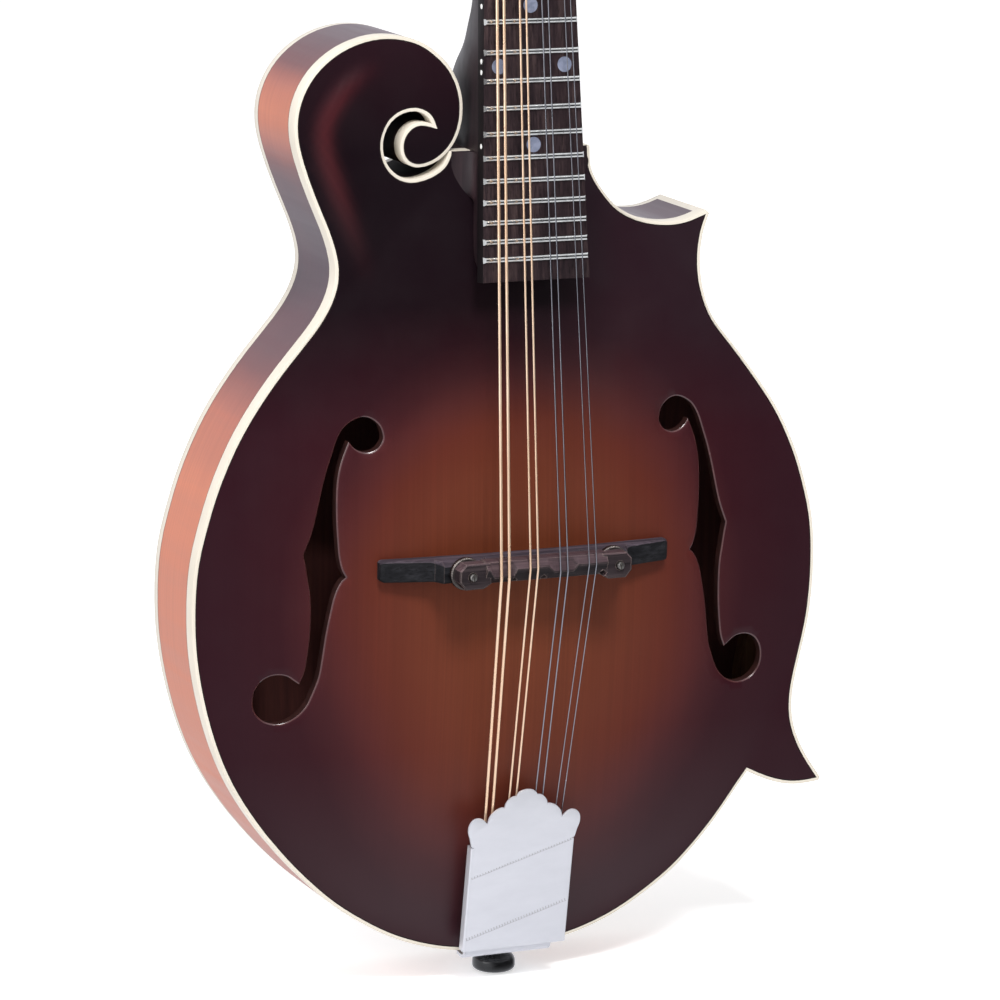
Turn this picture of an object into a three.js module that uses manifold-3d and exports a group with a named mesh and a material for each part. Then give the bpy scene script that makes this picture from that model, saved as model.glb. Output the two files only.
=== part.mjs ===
// Carved mandolin with a scroll body, two body points, f-holes, adjustable bridge and geared tuners.
// Millimetres. +Z runs up along the strings to the headstock, the front (strings) faces -Y and
// the treble side is +X. The origin is the centre of the end pin's flat outer face.
// Parts are drawn in body coordinates: z = 0 at the bridge line, y = 0 in the plane of the
// body's front edge, +y into the body. One group moves them to the origin above.
import * as THREE from "three";
import { mergeVertices } from "three/addons/utils/BufferGeometryUtils.js";
import Module from "manifold-3d";

const manifold = await Module();
manifold.setup();

// ---- driving dimensions ----
const GAP = 0.3; // clearance between neighbouring parts
const SCALE = 352.4; // bridge line to nut, along z
const DEPTH = 41; // front edge to back edge of the body
const TOP_ARCH = 13; // rise of the carved top
const BACK_ARCH = 11.5;
const TOP_T = 4; // plate thicknesses
const BACK_T = 4;
const BIND_W = 1.3;
const TOP_BIND_H = 6;
const BACK_BIND_H = 4;
const RIM_T = 2.4;
const RIM_FRONT = TOP_BIND_H + GAP;
const INSIDE_FRONT = TOP_T + GAP;
const INSIDE_BACK = DEPTH - BACK_T - GAP;
const LINING_DEPTH = 7; // inner face of the linings, in from EDGE
const TOP_LINING_BACK = 13;
const BACK_LINING_FRONT = 29;

const PIN_Y = 10; // end pin centre
const PIN_FACE_Z = -171;

const JOINT_Z = 148.17; // neck to body joint, at the 15th fret
const TENON_BACK = 35;
const BOARD_Y = -13.07; // playing surface of the fingerboard at the joint
const BOARD_T = 5.5;
const BOARD_UNDER = BOARD_T + GAP; // neck surface below the board, in the neck frame
const BOARD_END_Z = 102.7;
const FRETS = 20;
const NUT_HALF = 14.2; // board half width at the nut
const HALF_SLOPE = 0.0298; // growth of the half width per mm towards the body
const ROD_Y = BOARD_T + 3.6; // truss rod centre, in the neck frame
const NECK_ANGLE = THREE.MathUtils.degToRad(5.85);
const HEAD_ANGLE = THREE.MathUtils.degToRad(14); // further lean of the headstock
const HEAD_START = { y: 3.2, pastNut: 5 }; // headstock origin, in the neck frame
const HEAD_T = 13;
const OVERLAY_T = 2.2;

const BRIDGE_Z = -4.6; // bridge centre line
const POST_X = 30; // bridge adjusting posts
const SADDLE_Y = -33.5; // front of the saddle's crests
const WHEEL_Y = -25.2; // middle of the thumbwheels
const WHEEL_HALF_T = 1.3;
const BASE_TOP_Y = -22.6;

// Tuners, in the headstock frame
const TUNER_Z = [33, 56, 79, 102];
const TUNER_X = 21.5;
const POST_R = 3;
const GEAR_TEETH = 15;
const GEAR_R = 4.875;
const GEAR_T = 2.6;
const WORM_R = 2.1;
const WORM_LEAD = (2 * Math.PI * GEAR_R) / GEAR_TEETH;
const WORM_STEPS = 6; // thread sections per turn
const WORM_SECTIONS = 16;
const WORM_LENGTH = (WORM_LEAD * WORM_SECTIONS) / WORM_STEPS;
const WORM_DZ = -(GEAR_R + WORM_R + 0.05); // worm axis, from the string post
const TUNER_PLATE_FRONT = HEAD_T + GAP;
const TUNER_PLATE_BACK = TUNER_PLATE_FRONT + 1.1;
const GEAR_FRONT = TUNER_PLATE_BACK + 1.6;
const WORM_Y = GEAR_FRONT + GEAR_T / 2;

const SIDES = [["bass", -1], ["treble", 1]]; // name, sign of x
const TUNERS = SIDES.flatMap(([sideName, side]) =>
  TUNER_Z.map((z, i) => ({ name: `${sideName}_${i + 1}`, side, x: side * TUNER_X, z })));

// The four string pairs, with the x range of each pair's crest on the saddle
const PAIRS = {
  g: { gauge: 1.0, crestZ: -5.2, crestX: [-24, -12.6], material: "bronze" },
  d: { gauge: 0.66, crestZ: -2.7, crestX: [-12.6, 0.2], material: "bronze" },
  a: { gauge: 0.4, crestZ: -4.7, crestX: [0.2, 12.4], material: "steel" },
  e: { gauge: 0.28, crestZ: -2.8, crestX: [12.4, 24], material: "steel" },
};
// pair, place in the pair, x at the saddle, at the nut, at the tailpiece, hook z, tuner
const STRINGS = [
  ["g", "outer", -19.6, -11.6, -15.2, -124, "bass_1"],
  ["g", "inner", -16.4, -9.2, -12.4, -118, "bass_2"],
  ["d", "outer", -8.1, -4.4, -6.8, -124, "bass_3"],
  ["d", "inner", -5.0, -2.2, -4, -118, "bass_4"],
  ["a", "inner", 4.9, 2.2, 4, -124, "treble_4"],
  ["a", "outer", 7.9, 4.4, 6.8, -118, "treble_3"],
  ["e", "inner", 16.6, 9.4, 12.4, -124, "treble_2"],
  ["e", "outer", 19.6, 11.4, 15.2, -118, "treble_1"],
].map(([pair, place, saddleX, nutX, tailX, hookZ, tuner]) => ({
  ...PAIRS[pair], name: `${pair}_${place}`, saddleX, nutX, tailX, hookZ,
  tuner: TUNERS.find(({ name }) => name === tuner),
}));

// Edge of the soundboard inside the binding, as [x, z], from the treble side of the neck
// round the tail to the scroll and its slot
const EDGE = [
  [27.5,148.3], [28.1,141.4], [30.4,136.0], [37.0,127.3], [43.3,122.5], [51.6,119.2],
  [61.4,117.8], [69.3,118.4], [77.8,121.2], [75.4,113.6], [74.6,104.7], [75.4,95.7],
  [78.2,86.1], [82.6,78.3], [100.9,55.8], [111.1,41.0], [118.8,24.8], [124.8,5.7],
  [126.9,-9.1], [126.9,-28.1], [125.3,-42.0], [120.2,-66.5], [119.7,-76.4], [121.0,-83.3],
  [123.5,-89.8], [133.0,-105.0], [125.2,-105.5], [118.3,-104.7], [110.9,-102.3], [102.0,-98.0],
  [87.4,-117.1], [75.9,-129.5], [66.0,-137.9], [50.8,-147.5], [38.0,-153.1], [23.6,-157.1],
  [7.7,-158.8], [-10.2,-158.6], [-25.1,-156.8], [-39.5,-152.6], [-52.1,-146.7], [-66.4,-137.6],
  [-78.6,-127.3], [-91.7,-113.5], [-102.8,-99.3], [-111.7,-84.9], [-119.4,-66.5],
  [-124.8,-45.2], [-127.0,-26.4], [-126.6,-5.4], [-124.8,5.4], [-120.9,19.9], [-116.9,31.2],
  [-111.5,43.0], [-106.0,52.5], [-99.3,62.4], [-77.8,88.7], [-74.4,94.8], [-72.4,100.4],
  [-71.8,107.2], [-73.2,115.0], [-83.7,140.9], [-87.6,153.3], [-88.5,161.2], [-87.3,169.0],
  [-85.0,174.5], [-81.6,179.5], [-77.4,183.6], [-71.6,187.5], [-66.1,189.9], [-59.4,191.6],
  [-53.4,191.9], [-47.4,191.2], [-39.0,188.2], [-30.6,181.3], [-26.0,173.6], [-24.5,165.8],
  [-24.8,160.8], [-26.1,156.0], [-27.9,152.5], [-31.3,148.8], [-35.5,146.3], [-40.3,145.3],
  [-44.0,146.4], [-45.9,148.5], [-46.6,151.3], [-46.3,154.2], [-43.6,158.2], [-41.9,159.1],
  [-39.0,159.5], [-33.3,158.0], [-35.3,162.5], [-39.3,165.4], [-44.2,166.1], [-49.0,164.7],
  [-52.9,161.6], [-55.3,157.3], [-56.0,151.4], [-54.8,146.5], [-52.7,143.2], [-49.7,140.5],
  [-46.1,138.9], [-43.1,138.4], [-38.2,139.1], [-33.5,140.9], [-30.3,143.2], [-28.1,146.5],
  [-27.4,148.3],
];

// Bass f-hole, [x, z]; the treble one is its mirror image
const F_HOLE = [
  [-56.5,45.8], [-57.7,49.5], [-61.0,52.4], [-64.3,53.1], [-68.0,51.9], [-71.4,49.3],
  [-73.8,45.4], [-76.1,39.0], [-79.9,26.3], [-82.5,15.1], [-84.1,9.5], [-86.9,2.4],
  [-85.2,-6.8], [-84.3,-12.6], [-84.0,-20.9], [-85.0,-35.8], [-86.1,-42.4], [-87.9,-46.8],
  [-92.2,-43.7], [-95.1,-42.9], [-98.8,-43.2], [-102.0,-44.9], [-104.3,-48.1], [-105.2,-52.3],
  [-104.5,-56.5], [-101.6,-60.0], [-98.3,-61.5], [-94.2,-61.8], [-89.4,-59.8], [-85.4,-55.9],
  [-82.7,-50.1], [-80.7,-44.4], [-78.5,-29.5], [-77.0,-21.3], [-75.0,-13.1], [-70.8,-6.7],
  [-73.5,0.8], [-74.5,14.7], [-74.5,23.6], [-74.0,30.1], [-72.8,35.7], [-69.5,44.1],
  [-67.8,41.9], [-65.3,40.3], [-62.0,39.8], [-58.7,41.1],
];

// Headstock outline, [x, z] in the headstock frame
const HEAD_OUTLINE = [
  [-14.5,-1], [-15.2,8], [-19,17], [-27,26], [-34,34], [-37.6,44], [-37.6,56], [-35.2,70],
  [-32.6,84], [-31.8,97], [-33.4,108], [-36.5,117], [-36.4,125], [-31,130.5], [-24.5,129],
  [-20.5,123.5], [-15,121.5], [-9,125.5], [-4,133], [3,140.5], [13,144.5], [23,143],
  [30.5,136.5], [32.6,128], [29.5,121.5], [28.4,113], [30.2,102], [32.4,88], [35.2,72],
  [37.6,57], [37.6,44], [34,34], [27,26], [19,17], [15.2,8], [14.5,-1],
];

// ---- meshes and solids ----
const vec = (x, y, z) => new THREE.Vector3(x, y, z);
const AXIS_X = vec(1, 0, 0);
const AXIS_Y = vec(0, 1, 0);
const AXIS_Z = vec(0, 0, 1);

// Reverses every triangle if the enclosed volume comes out negative
function faceOutward(geometry) {
  const { index, attributes: { position } } = geometry;
  const corners = [vec(), vec(), vec()];
  let volume = 0;
  for (let i = 0; i < index.count; i += 3) {
    corners.forEach((corner, k) => corner.fromBufferAttribute(position, index.getX(i + k)));
    volume += corners[0].dot(corners[1].cross(corners[2]));
  }
  if (volume >= 0) return geometry;
  for (let i = 0; i < index.count; i += 3) {
    const second = index.getX(i + 1);
    index.setX(i + 1, index.getX(i + 2));
    index.setX(i + 2, second);
  }
  return geometry;
}

// Joins coincident points and drops the triangles that collapse
function weld(geometry) {
  const flat = geometry.index ? geometry.toNonIndexed() : geometry;
  const bare = new THREE.BufferGeometry().setAttribute("position", flat.getAttribute("position"));
  const merged = mergeVertices(bare, 1e-4);
  const { array } = merged.index;
  const kept = [];
  for (let i = 0; i < array.length; i += 3) {
    const [a, b, c] = array.subarray(i, i + 3);
    if (a !== b && b !== c && a !== c) kept.push(a, b, c);
  }
  merged.setIndex(kept);
  return faceOutward(merged);
}

function toSolid(geometry) {
  const welded = weld(geometry);
  return new manifold.Manifold(new manifold.Mesh({
    numProp: 3,
    vertProperties: new Float32Array(welded.attributes.position.array),
    triVerts: new Uint32Array(welded.index.array),
  }));
}

function toGeometry(solid) {
  const mesh = solid.getMesh();
  const geometry = new THREE.BufferGeometry()
    .setAttribute("position", new THREE.BufferAttribute(new Float32Array(mesh.vertProperties), 3))
    .setIndex(new THREE.BufferAttribute(new Uint32Array(mesh.triVerts), 1));
  geometry.computeVertexNormals();
  return geometry;
}

const union = (...solids) => solids.reduce((joined, solid) => joined.add(solid));
const cut = (solid, ...tools) => tools.reduce((rest, tool) => rest.subtract(tool), solid);
const byVolume = (solids) => solids.sort((a, b) => b.volume() - a.volume());
const biggest = (solid) => byVolume(solid.decompose())[0];

// ---- basic shapes ----
function extrude(outline, depth) {
  const shape = new THREE.Shape(outline.map(([x, y]) => new THREE.Vector2(x, y)));
  return new THREE.ExtrudeGeometry(shape, { depth, bevelEnabled: false, steps: 1 });
}

// Outline in y, z pushed along x
function prismX(outline, x0, x1) {
  const turn = new THREE.Matrix4().set(0, 0, 1, 0, 1, 0, 0, 0, 0, 1, 0, 0, 0, 0, 0, 1);
  return extrude(outline, x1 - x0).applyMatrix4(turn).translate(x0, 0, 0);
}

// Outline in x, z pushed along y
const prismY = (outline, y0, y1) =>
  extrude(outline, y1 - y0).rotateX(Math.PI / 2).translate(0, y1, 0);

// Outline in x, y pushed along z
const prismZ = (outline, z0, z1) => extrude(outline, z1 - z0).translate(0, 0, z0);

const solidX = (outline, x0, x1) => toSolid(prismX(outline, x0, x1));
const solidY = (outline, y0, y1) => toSolid(prismY(outline, y0, y1));
const solidZ = (outline, z0, z1) => toSolid(prismZ(outline, z0, z1));

const box = (x0, x1, y0, y1, z0, z1) =>
  new THREE.BoxGeometry(x1 - x0, y1 - y0, z1 - z0)
    .translate((x0 + x1) / 2, (y0 + y1) / 2, (z0 + z1) / 2);

// Turned profile [[radius, height], ...] about an axis through `at`
function lathe(profile, at, axis, sides) {
  const points = profile.map(([radius, height]) => new THREE.Vector2(radius, height));
  return new THREE.LatheGeometry(points, sides)
    .applyQuaternion(new THREE.Quaternion().setFromUnitVectors(AXIS_Y, axis))
    .translate(at.x, at.y, at.z);
}

const rod = (radius, start, end, at, axis, sides) =>
  lathe([[0, start], [radius, start], [radius, end], [0, end]], at, axis, sides);
const solidRod = (...args) => toSolid(rod(...args));

const fromFaces = (points, faces) =>
  faceOutward(new THREE.BufferGeometry()
    .setAttribute("position", new THREE.Float32BufferAttribute(points.flat(), 3))
    .setIndex(faces));

// Skin over rings with equal point counts, capped at both ends
function loft(rings) {
  const count = rings[0].length;
  const last = rings.length - 1;
  const points = rings.flat();
  const faces = [];
  for (let i = 0; i < last; i++) {
    for (let j = 0; j < count; j++) {
      const a = i * count + j;
      const b = i * count + ((j + 1) % count);
      faces.push(a, b, b + count, a, b + count, a + count);
    }
  }
  for (const i of [0, last]) {
    const centre = vec();
    rings[i].forEach((point) => centre.add(vec(...point)));
    const middle = points.push([...centre.divideScalar(count)]) - 1;
    for (let j = 0; j < count; j++) {
      const a = i * count + j;
      const b = i * count + ((j + 1) % count);
      if (i === last) faces.push(a, b, middle);
      else faces.push(b, a, middle);
    }
  }
  return fromFaces(points, faces);
}

// Round wire through points
function wire(path, radius, sides) {
  const points = path.map((point) => vec(...point));
  const last = points.length - 1;
  let across = AXIS_X;
  const rings = points.map((point, i) => {
    const tangent = vec();
    if (i > 0) tangent.add(point.clone().sub(points[i - 1]).normalize());
    if (i < last) tangent.add(points[i + 1].clone().sub(point).normalize());
    tangent.normalize();
    // carry the previous direction on, so that the wire doesn't twist
    across = across.clone().addScaledVector(tangent, -across.dot(tangent)).normalize();
    const other = tangent.clone().cross(across);
    return Array.from({ length: sides }, (_, k) => {
      const angle = (k / sides) * 2 * Math.PI;
      return [...point.clone()
        .addScaledVector(across, radius * Math.cos(angle))
        .addScaledVector(other, radius * Math.sin(angle))];
    });
  });
  return loft(rings);
}

// ---- outlines ----
const mirror = (outline) => outline.map(([x, z]) => [-x, z]).reverse();

function unitVector([x0, z0], [x1, z1]) {
  const length = Math.hypot(x1 - x0, z1 - z0);
  return [(x1 - x0) / length, (z1 - z0) / length];
}

function distanceTo(outline, [x, z]) {
  const distances = outline.map(([ax, az], i) => {
    const [bx, bz] = outline[(i + 1) % outline.length];
    const dx = bx - ax;
    const dz = bz - az;
    const along = ((x - ax) * dx + (z - az) * dz) / (dx * dx + dz * dz);
    const k = Math.max(0, Math.min(1, along));
    return Math.hypot(x - ax - k * dx, z - az - k * dz);
  });
  return Math.min(...distances);
}

// Outline moved inward (amount < 0) or outward (> 0), without the parts that fold over
function offset(outline, amount) {
  const MITRE_LIMIT = 1.35; // corners sharper than this are bevelled
  const BEVEL = 0.55; // how far a bevel runs past the corner, per mm of offset
  const MIN_SPACING = 0.25;
  const count = outline.length;
  const distance = Math.abs(amount);
  let area = 0;
  outline.forEach(([x, z], i) => {
    const next = outline[(i + 1) % count];
    area += x * next[1] - next[0] * z;
  });
  const winding = area > 0 ? 1 : -1;
  const moved = outline.flatMap((corner, i) => {
    const dirIn = unitVector(outline[(i + count - 1) % count], corner);
    const dirOut = unitVector(corner, outline[(i + 1) % count]);
    const [normalIn, normalOut] = [dirIn, dirOut].map(([x, z]) => [winding * z, -winding * x]);
    const dot = normalIn[0] * normalOut[0] + normalIn[1] * normalOut[1];
    const mitre = [0, 1].map((k) => (normalIn[k] + normalOut[k]) / (1 + dot + 1e-6));
    const convex = (dirIn[0] * dirOut[1] - dirIn[1] * dirOut[0]) * winding > 0;
    if (Math.hypot(...mitre) > MITRE_LIMIT && convex === (amount > 0)) {
      return [
        corner.map((c, k) => c + normalIn[k] * amount + dirIn[k] * distance * BEVEL),
        corner.map((c, k) => c + normalOut[k] * amount - dirOut[k] * distance * BEVEL),
      ];
    }
    return [corner.map((c, k) => c + mitre[k] * amount)];
  });
  const result = [];
  for (const point of moved) {
    if (distanceTo(outline, point) <= distance * 0.985 - 1e-3) continue;
    const previous = result.at(-1);
    const spacing = previous ? Math.hypot(point[0] - previous[0], point[1] - previous[1]) : Infinity;
    if (spacing > MIN_SPACING) result.push(point);
  }
  return result;
}

const bodyOutline = offset(EDGE, BIND_W);
const plateOutline = offset(EDGE, -0.15);
const bindingInner = offset(EDGE, 0.15);
const rimInner = offset(EDGE, BIND_W - RIM_T);
const liningOuter = offset(EDGE, BIND_W - RIM_T - GAP);
const liningInner = offset(EDGE, -LINING_DEPTH);

// ---- carved arch ----
// Height above the flat edge; zero outside a pear-shaped area
function arch(x, z, height) {
  const up = z + 18; // from the widest line of the arch
  const halfWidth = 127 - 0.0024 * Math.max(0, up) ** 2;
  const length = up < 0 ? 141 : 185;
  const reach = (x / halfWidth) ** 2 + (up / length) ** 2;
  return height * Math.max(0, 1 - reach) ** 1.25;
}

// Slab between two surfaces y(x, z), on a grid that covers the whole body
function slab(frontY, backY) {
  const xs = [-137, -113, -86, -58, -29, 0, 29, 58, 86, 113, 137];
  const zs = [-166, -144, -117, -86, -52, -18, 15, 48, 80, 110, 142, 197];
  const lastX = xs.length - 1;
  const lastZ = zs.length - 1;
  const points = [frontY, backY].flatMap((surface) =>
    zs.flatMap((z) => xs.map((x) => [x, surface(x, z), z])));
  const id = (layer, i, j) => (layer * zs.length + j) * xs.length + i;
  const faces = [];
  for (let j = 0; j < lastZ; j++) {
    for (let i = 0; i < lastX; i++) {
      const [a, b, c, d] = [id(0, i, j), id(0, i + 1, j), id(0, i + 1, j + 1), id(0, i, j + 1)];
      faces.push(a, b, c, a, c, d);
      const [e, f, g, h] = [id(1, i, j), id(1, i + 1, j), id(1, i + 1, j + 1), id(1, i, j + 1)];
      faces.push(e, g, f, e, h, g);
    }
  }
  const wall = (from, to) => faces.push(
    id(0, ...to), id(0, ...from), id(1, ...from),
    id(0, ...to), id(1, ...from), id(1, ...to),
  );
  for (let i = 0; i < lastX; i++) {
    wall([i, 0], [i + 1, 0]);
    wall([i + 1, lastZ], [i, lastZ]);
  }
  for (let j = 0; j < lastZ; j++) {
    wall([lastX, j], [lastX, j + 1]);
    wall([0, j + 1], [0, j]);
  }
  return toSolid(fromFaces(points, faces));
}

// Space in front of the soundboard, for parts that stand on the arch
const spaceBeforeTop = slab(() => -60, (x, z) => -arch(x, z, TOP_ARCH) - GAP);

// ---- frames of the neck and the headstock ----
// Neck frame: y = 0 on the playing surface, z along the neck from the joint
const neckFrame = new THREE.Matrix4()
  .makeRotationX(-NECK_ANGLE)
  .setPosition(0, BOARD_Y, JOINT_Z);
const alongNeck = (z) => (z - JOINT_Z) / Math.cos(NECK_ANGLE); // from body z
const boardHalfWidth = (along) =>
  NUT_HALF + (SCALE - (JOINT_Z + along * Math.cos(NECK_ANGLE))) * HALF_SLOPE;
const NUT_AT = alongNeck(SCALE);

// Headstock frame: y = 0 on the front of the overlay
const headFrame = neckFrame.clone()
  .multiply(new THREE.Matrix4().makeTranslation(0, HEAD_START.y, NUT_AT + HEAD_START.pastNut))
  .multiply(new THREE.Matrix4().makeRotationX(-HEAD_ANGLE));

const toNeck = (geometry) => geometry.applyMatrix4(neckFrame);
const toHead = (geometry) => geometry.applyMatrix4(headFrame);
const neckSolid = (geometry) => toSolid(toNeck(geometry));
const headSolid = (geometry) => toSolid(toHead(geometry));
const neckPoint = (...point) => [...vec(...point).applyMatrix4(neckFrame)];
const headPoint = (...point) => [...vec(...point).applyMatrix4(headFrame)];

// ---- plates, bindings and rim ----
function topPlate() {
  const plate = slab(
    (x, z) => -arch(x, z, TOP_ARCH),
    (x, z) => -arch(x, z, TOP_ARCH) + TOP_T,
  ).intersect(solidY(plateOutline, -30, 20));
  return biggest(cut(plate, solidY(F_HOLE, -30, 20), solidY(mirror(F_HOLE), -30, 20)));
}

function backPlate() {
  const plate = slab(
    (x, z) => DEPTH + arch(x, z, BACK_ARCH) - BACK_T,
    (x, z) => DEPTH + arch(x, z, BACK_ARCH),
  );
  return biggest(plate.intersect(solidY(plateOutline, 20, 70)));
}

const band = (outer, inner, y0, y1) => cut(solidY(outer, y0, y1), solidY(inner, y0 - 2, y1 + 2));

// Cylinders through the tips of the two body points, [x, z]
const TONGUE_R = 3.6;
const aroundTips = (radius) =>
  union(...[[78.6, 121.6], [134, -105.4]].map(([x, z]) =>
    solidRod(radius, 0, DEPTH, vec(x, 0, z), AXIS_Y, 16)));

// A tongue of the binding runs back over each body point to protect it
function topBinding() {
  const tongues = band(bodyOutline, bindingInner, TOP_BIND_H - 0.5, INSIDE_BACK)
    .intersect(aroundTips(TONGUE_R));
  return biggest(band(bodyOutline, bindingInner, 0, TOP_BIND_H).add(tongues));
}

const backBinding = () =>
  biggest(band(bodyOutline, bindingInner, DEPTH - BACK_BIND_H, DEPTH));

const pinHole = solidRod(3.3, -40, 40, vec(0, PIN_Y, -158), AXIS_Z, 12);
const tenonOutline = (topZ) => [[-9, topZ], [9, topZ], [11.5, 131], [-11.5, 131]];
const tenonSlot = solidY(offset(tenonOutline(155), GAP), 0, TENON_BACK + GAP);

function rim() {
  const tongueSeats = band(offset(EDGE, BIND_W + 3), offset(EDGE, 0.15 - GAP), 0, DEPTH)
    .intersect(aroundTips(TONGUE_R + GAP));
  const wall = biggest(band(bodyOutline, rimInner, RIM_FRONT, INSIDE_BACK));
  return biggest(cut(wall, tongueSeats, tenonSlot, pinHole));
}

// ---- blocks, linings and tone bars inside the body ----
// Outlines that cut each block out of the body's inside, [x, z]
const HEAD_BLOCK = [[22, 200], [-100, 200], [-100, 132], [-66, 118], [-24, 118], [22, 122]];
const TAIL_BLOCK = [[-32, -170], [32, -170], [32, -139], [-32, -139]];
const UPPER_POINT_BLOCK = [[46, 128], [90, 128], [90, 96], [56, 104]];
const LOWER_POINT_BLOCK = [[140, -82], [108, -82], [92, -104], [100, -120], [140, -120]];

const inside = solidY(liningOuter, INSIDE_FRONT, INSIDE_BACK);
const block = (region, ...holes) =>
  biggest(cut(inside.intersect(solidY(region, 0, DEPTH)), ...holes));

// Notched at front and back, so that the linings run on past it
function pointBlock(region) {
  const withinLinings = solidY(offset(EDGE, -LINING_DEPTH - GAP), 0, DEPTH);
  const notch = (y0, y1) => cut(solidY(region, y0, y1), withinLinings);
  return block(region, notch(0, TOP_LINING_BACK + GAP), notch(BACK_LINING_FRONT - GAP, DEPTH));
}

// One bent strip each side, from the head block round to the tail block
function addLinings(name, y0, y1) {
  const blocks = [HEAD_BLOCK, TAIL_BLOCK].map((region) =>
    solidY(offset(region, GAP), -5, DEPTH + 5));
  const pieces = cut(band(liningOuter, liningInner, y0, y1), ...blocks).decompose();
  for (const strip of byVolume(pieces.filter((piece) => piece.volume() > 400)).slice(0, 2)) {
    const { min, max } = strip.boundingBox();
    addPart(`${name}_${min[0] + max[0] < 0 ? "bass" : "treble"}`, strip, "block");
  }
}

// Bar behind the top, following the inside of the arch
function toneBar(side) {
  const stations = [ // z, height
    [-98, 2], [-80, 5], [-60, 8], [-40, 9.5], [-20, 10],
    [0, 10], [20, 9], [40, 8], [60, 5], [78, 2],
  ];
  return loft(stations.map(([z, height]) => {
    const x = side * (26 - z * 0.05);
    const y = -arch(x, z, TOP_ARCH) + TOP_T + 0.55;
    return [[x - 3, y, z], [x + 3, y, z], [x + 2.2, y + height, z], [x - 2.2, y + height, z]];
  }));
}

// ---- neck and headstock ----
// along the neck, depth under the board, width factor towards the back,
// exponents that square the section across and in depth
const NECK_STATIONS = [
  [-6, 56, 0.75, 0.55, 0.65],
  [14, 56, 0.76, 0.55, 0.65],
  [22, 53, 0.78, 0.55, 0.65],
  [28, 49, 0.8, 0.55, 0.65],
  [32, 44.5, 0.81, 0.55, 0.65],
  [34, 43.5, 0.82, 0.56, 0.66],
  [38, 37.75, 0.84, 0.6, 0.7],
  [42, 31.75, 0.86, 0.62, 0.72],
  [48, 28.25, 0.88, 0.68, 0.78],
  [56, 22, 0.9, 0.75, 0.84],
  [66, 18.5, 0.92, 0.82, 0.88],
  [80, 16.6, 0.92, 0.85, 0.9],
  [110, 15.2, 0.92, 0.85, 0.9],
  [170, 14.2, 0.92, 0.85, 0.9],
  [NUT_AT - 1, 14.5, 0.92, 0.85, 0.9],
];

// Points at equal angles over half a turn, from cosine and sine
const halfTurn = (steps, place) =>
  Array.from({ length: steps + 1 }, (_, k) => {
    const angle = (k / steps) * Math.PI;
    return place(Math.cos(angle), Math.sin(angle));
  });

function neckShaft() {
  return neckSolid(loft(NECK_STATIONS.map(([along, depth, backWidth, powerX, powerY]) => {
    const halfWidth = boardHalfWidth(along) - 0.2;
    return halfTurn(10, (cos, sin) => [
      halfWidth * Math.sign(cos) * Math.abs(cos) ** powerX * (1 - (1 - backWidth) * sin),
      BOARD_UNDER + depth * sin ** powerY,
      along,
    ]);
  })));
}

// Joins the neck to the headstock
function volute() {
  const ends = [ // along, half width, front y, back y
    [NUT_AT - 6, 14.1, BOARD_UNDER, 19],
    [NUT_AT + 16, 14, 9, 16.5],
  ];
  return toSolid(loft(ends.map(([along, halfWidth, front, back]) =>
    halfTurn(8, (cos, sin) => neckPoint(halfWidth * cos, front + (back - front) * sin, along)))));
}

const postHole = ({ x, z }) => rod(3.6, -8, 30, vec(x, 0, z), AXIS_Y, 8);
const headHoles = TUNERS.map((tuner) => headSolid(postHole(tuner)));
const rodPocket = headSolid(
  prismY([[-5.5, -4], [5.5, -4], [5.5, 16], [0, 20], [-5.5, 16]], -6, 11));

function neck() {
  // flat against the rim, and just short of the body's back edge
  const shaft = cut(neckShaft(), toSolid(box(-60, 60, -40, 80, 100, JOINT_Z + BIND_W + GAP)))
    .intersect(toSolid(box(-60, 60, -40, DEPTH - 0.2, 100, 420)));
  const tenon = solidY(tenonOutline(153), TOP_BIND_H + 0.6, TENON_BACK);
  const headstock = headSolid(prismY(HEAD_OUTLINE, OVERLAY_T + GAP, HEAD_T));
  // open towards the fingerboard and into the headstock pocket
  const rodChannel = neckSolid(box(-3.1, 3.1, 0, BOARD_T + 6.6, 8, NUT_AT + 12));
  const joined = union(shaft, tenon, headstock, volute());
  return biggest(cut(joined, rodChannel, rodPocket, ...headHoles));
}

function headstockOverlay() {
  const outline = offset(HEAD_OUTLINE, -0.1).filter(([, z]) => z > 0.6);
  const sheet = headSolid(prismY(outline, 0, OVERLAY_T))
    .intersect(headSolid(box(-60, 60, -5, 5, 1.2, 160)));
  return biggest(cut(sheet, rodPocket, ...headHoles));
}

function trussRodCover() {
  const outline = [
    [-7.5, 2.5], [7.5, 2.5], [8.6, 8], [8, 15], [4.5, 21],
    [0, 25], [-4.5, 21], [-8, 15], [-8.6, 8],
  ];
  return toHead(prismY(outline, -1.9, -GAP));
}

const trussRod = () => toNeck(rod(2.4, 10, NUT_AT + 9, vec(0, ROD_Y, 0), AXIS_Z, 8));

// Six-sided ring round the rod, with running clearance
function trussRodNut() {
  const at = vec(0, ROD_Y, 0);
  return cut(
    neckSolid(rod(3.7, NUT_AT + 4.6, NUT_AT + 8.6, at, AXIS_Z, 6)),
    neckSolid(rod(2.75, NUT_AT, NUT_AT + 12, at, AXIS_Z, 8)),
  );
}

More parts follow.
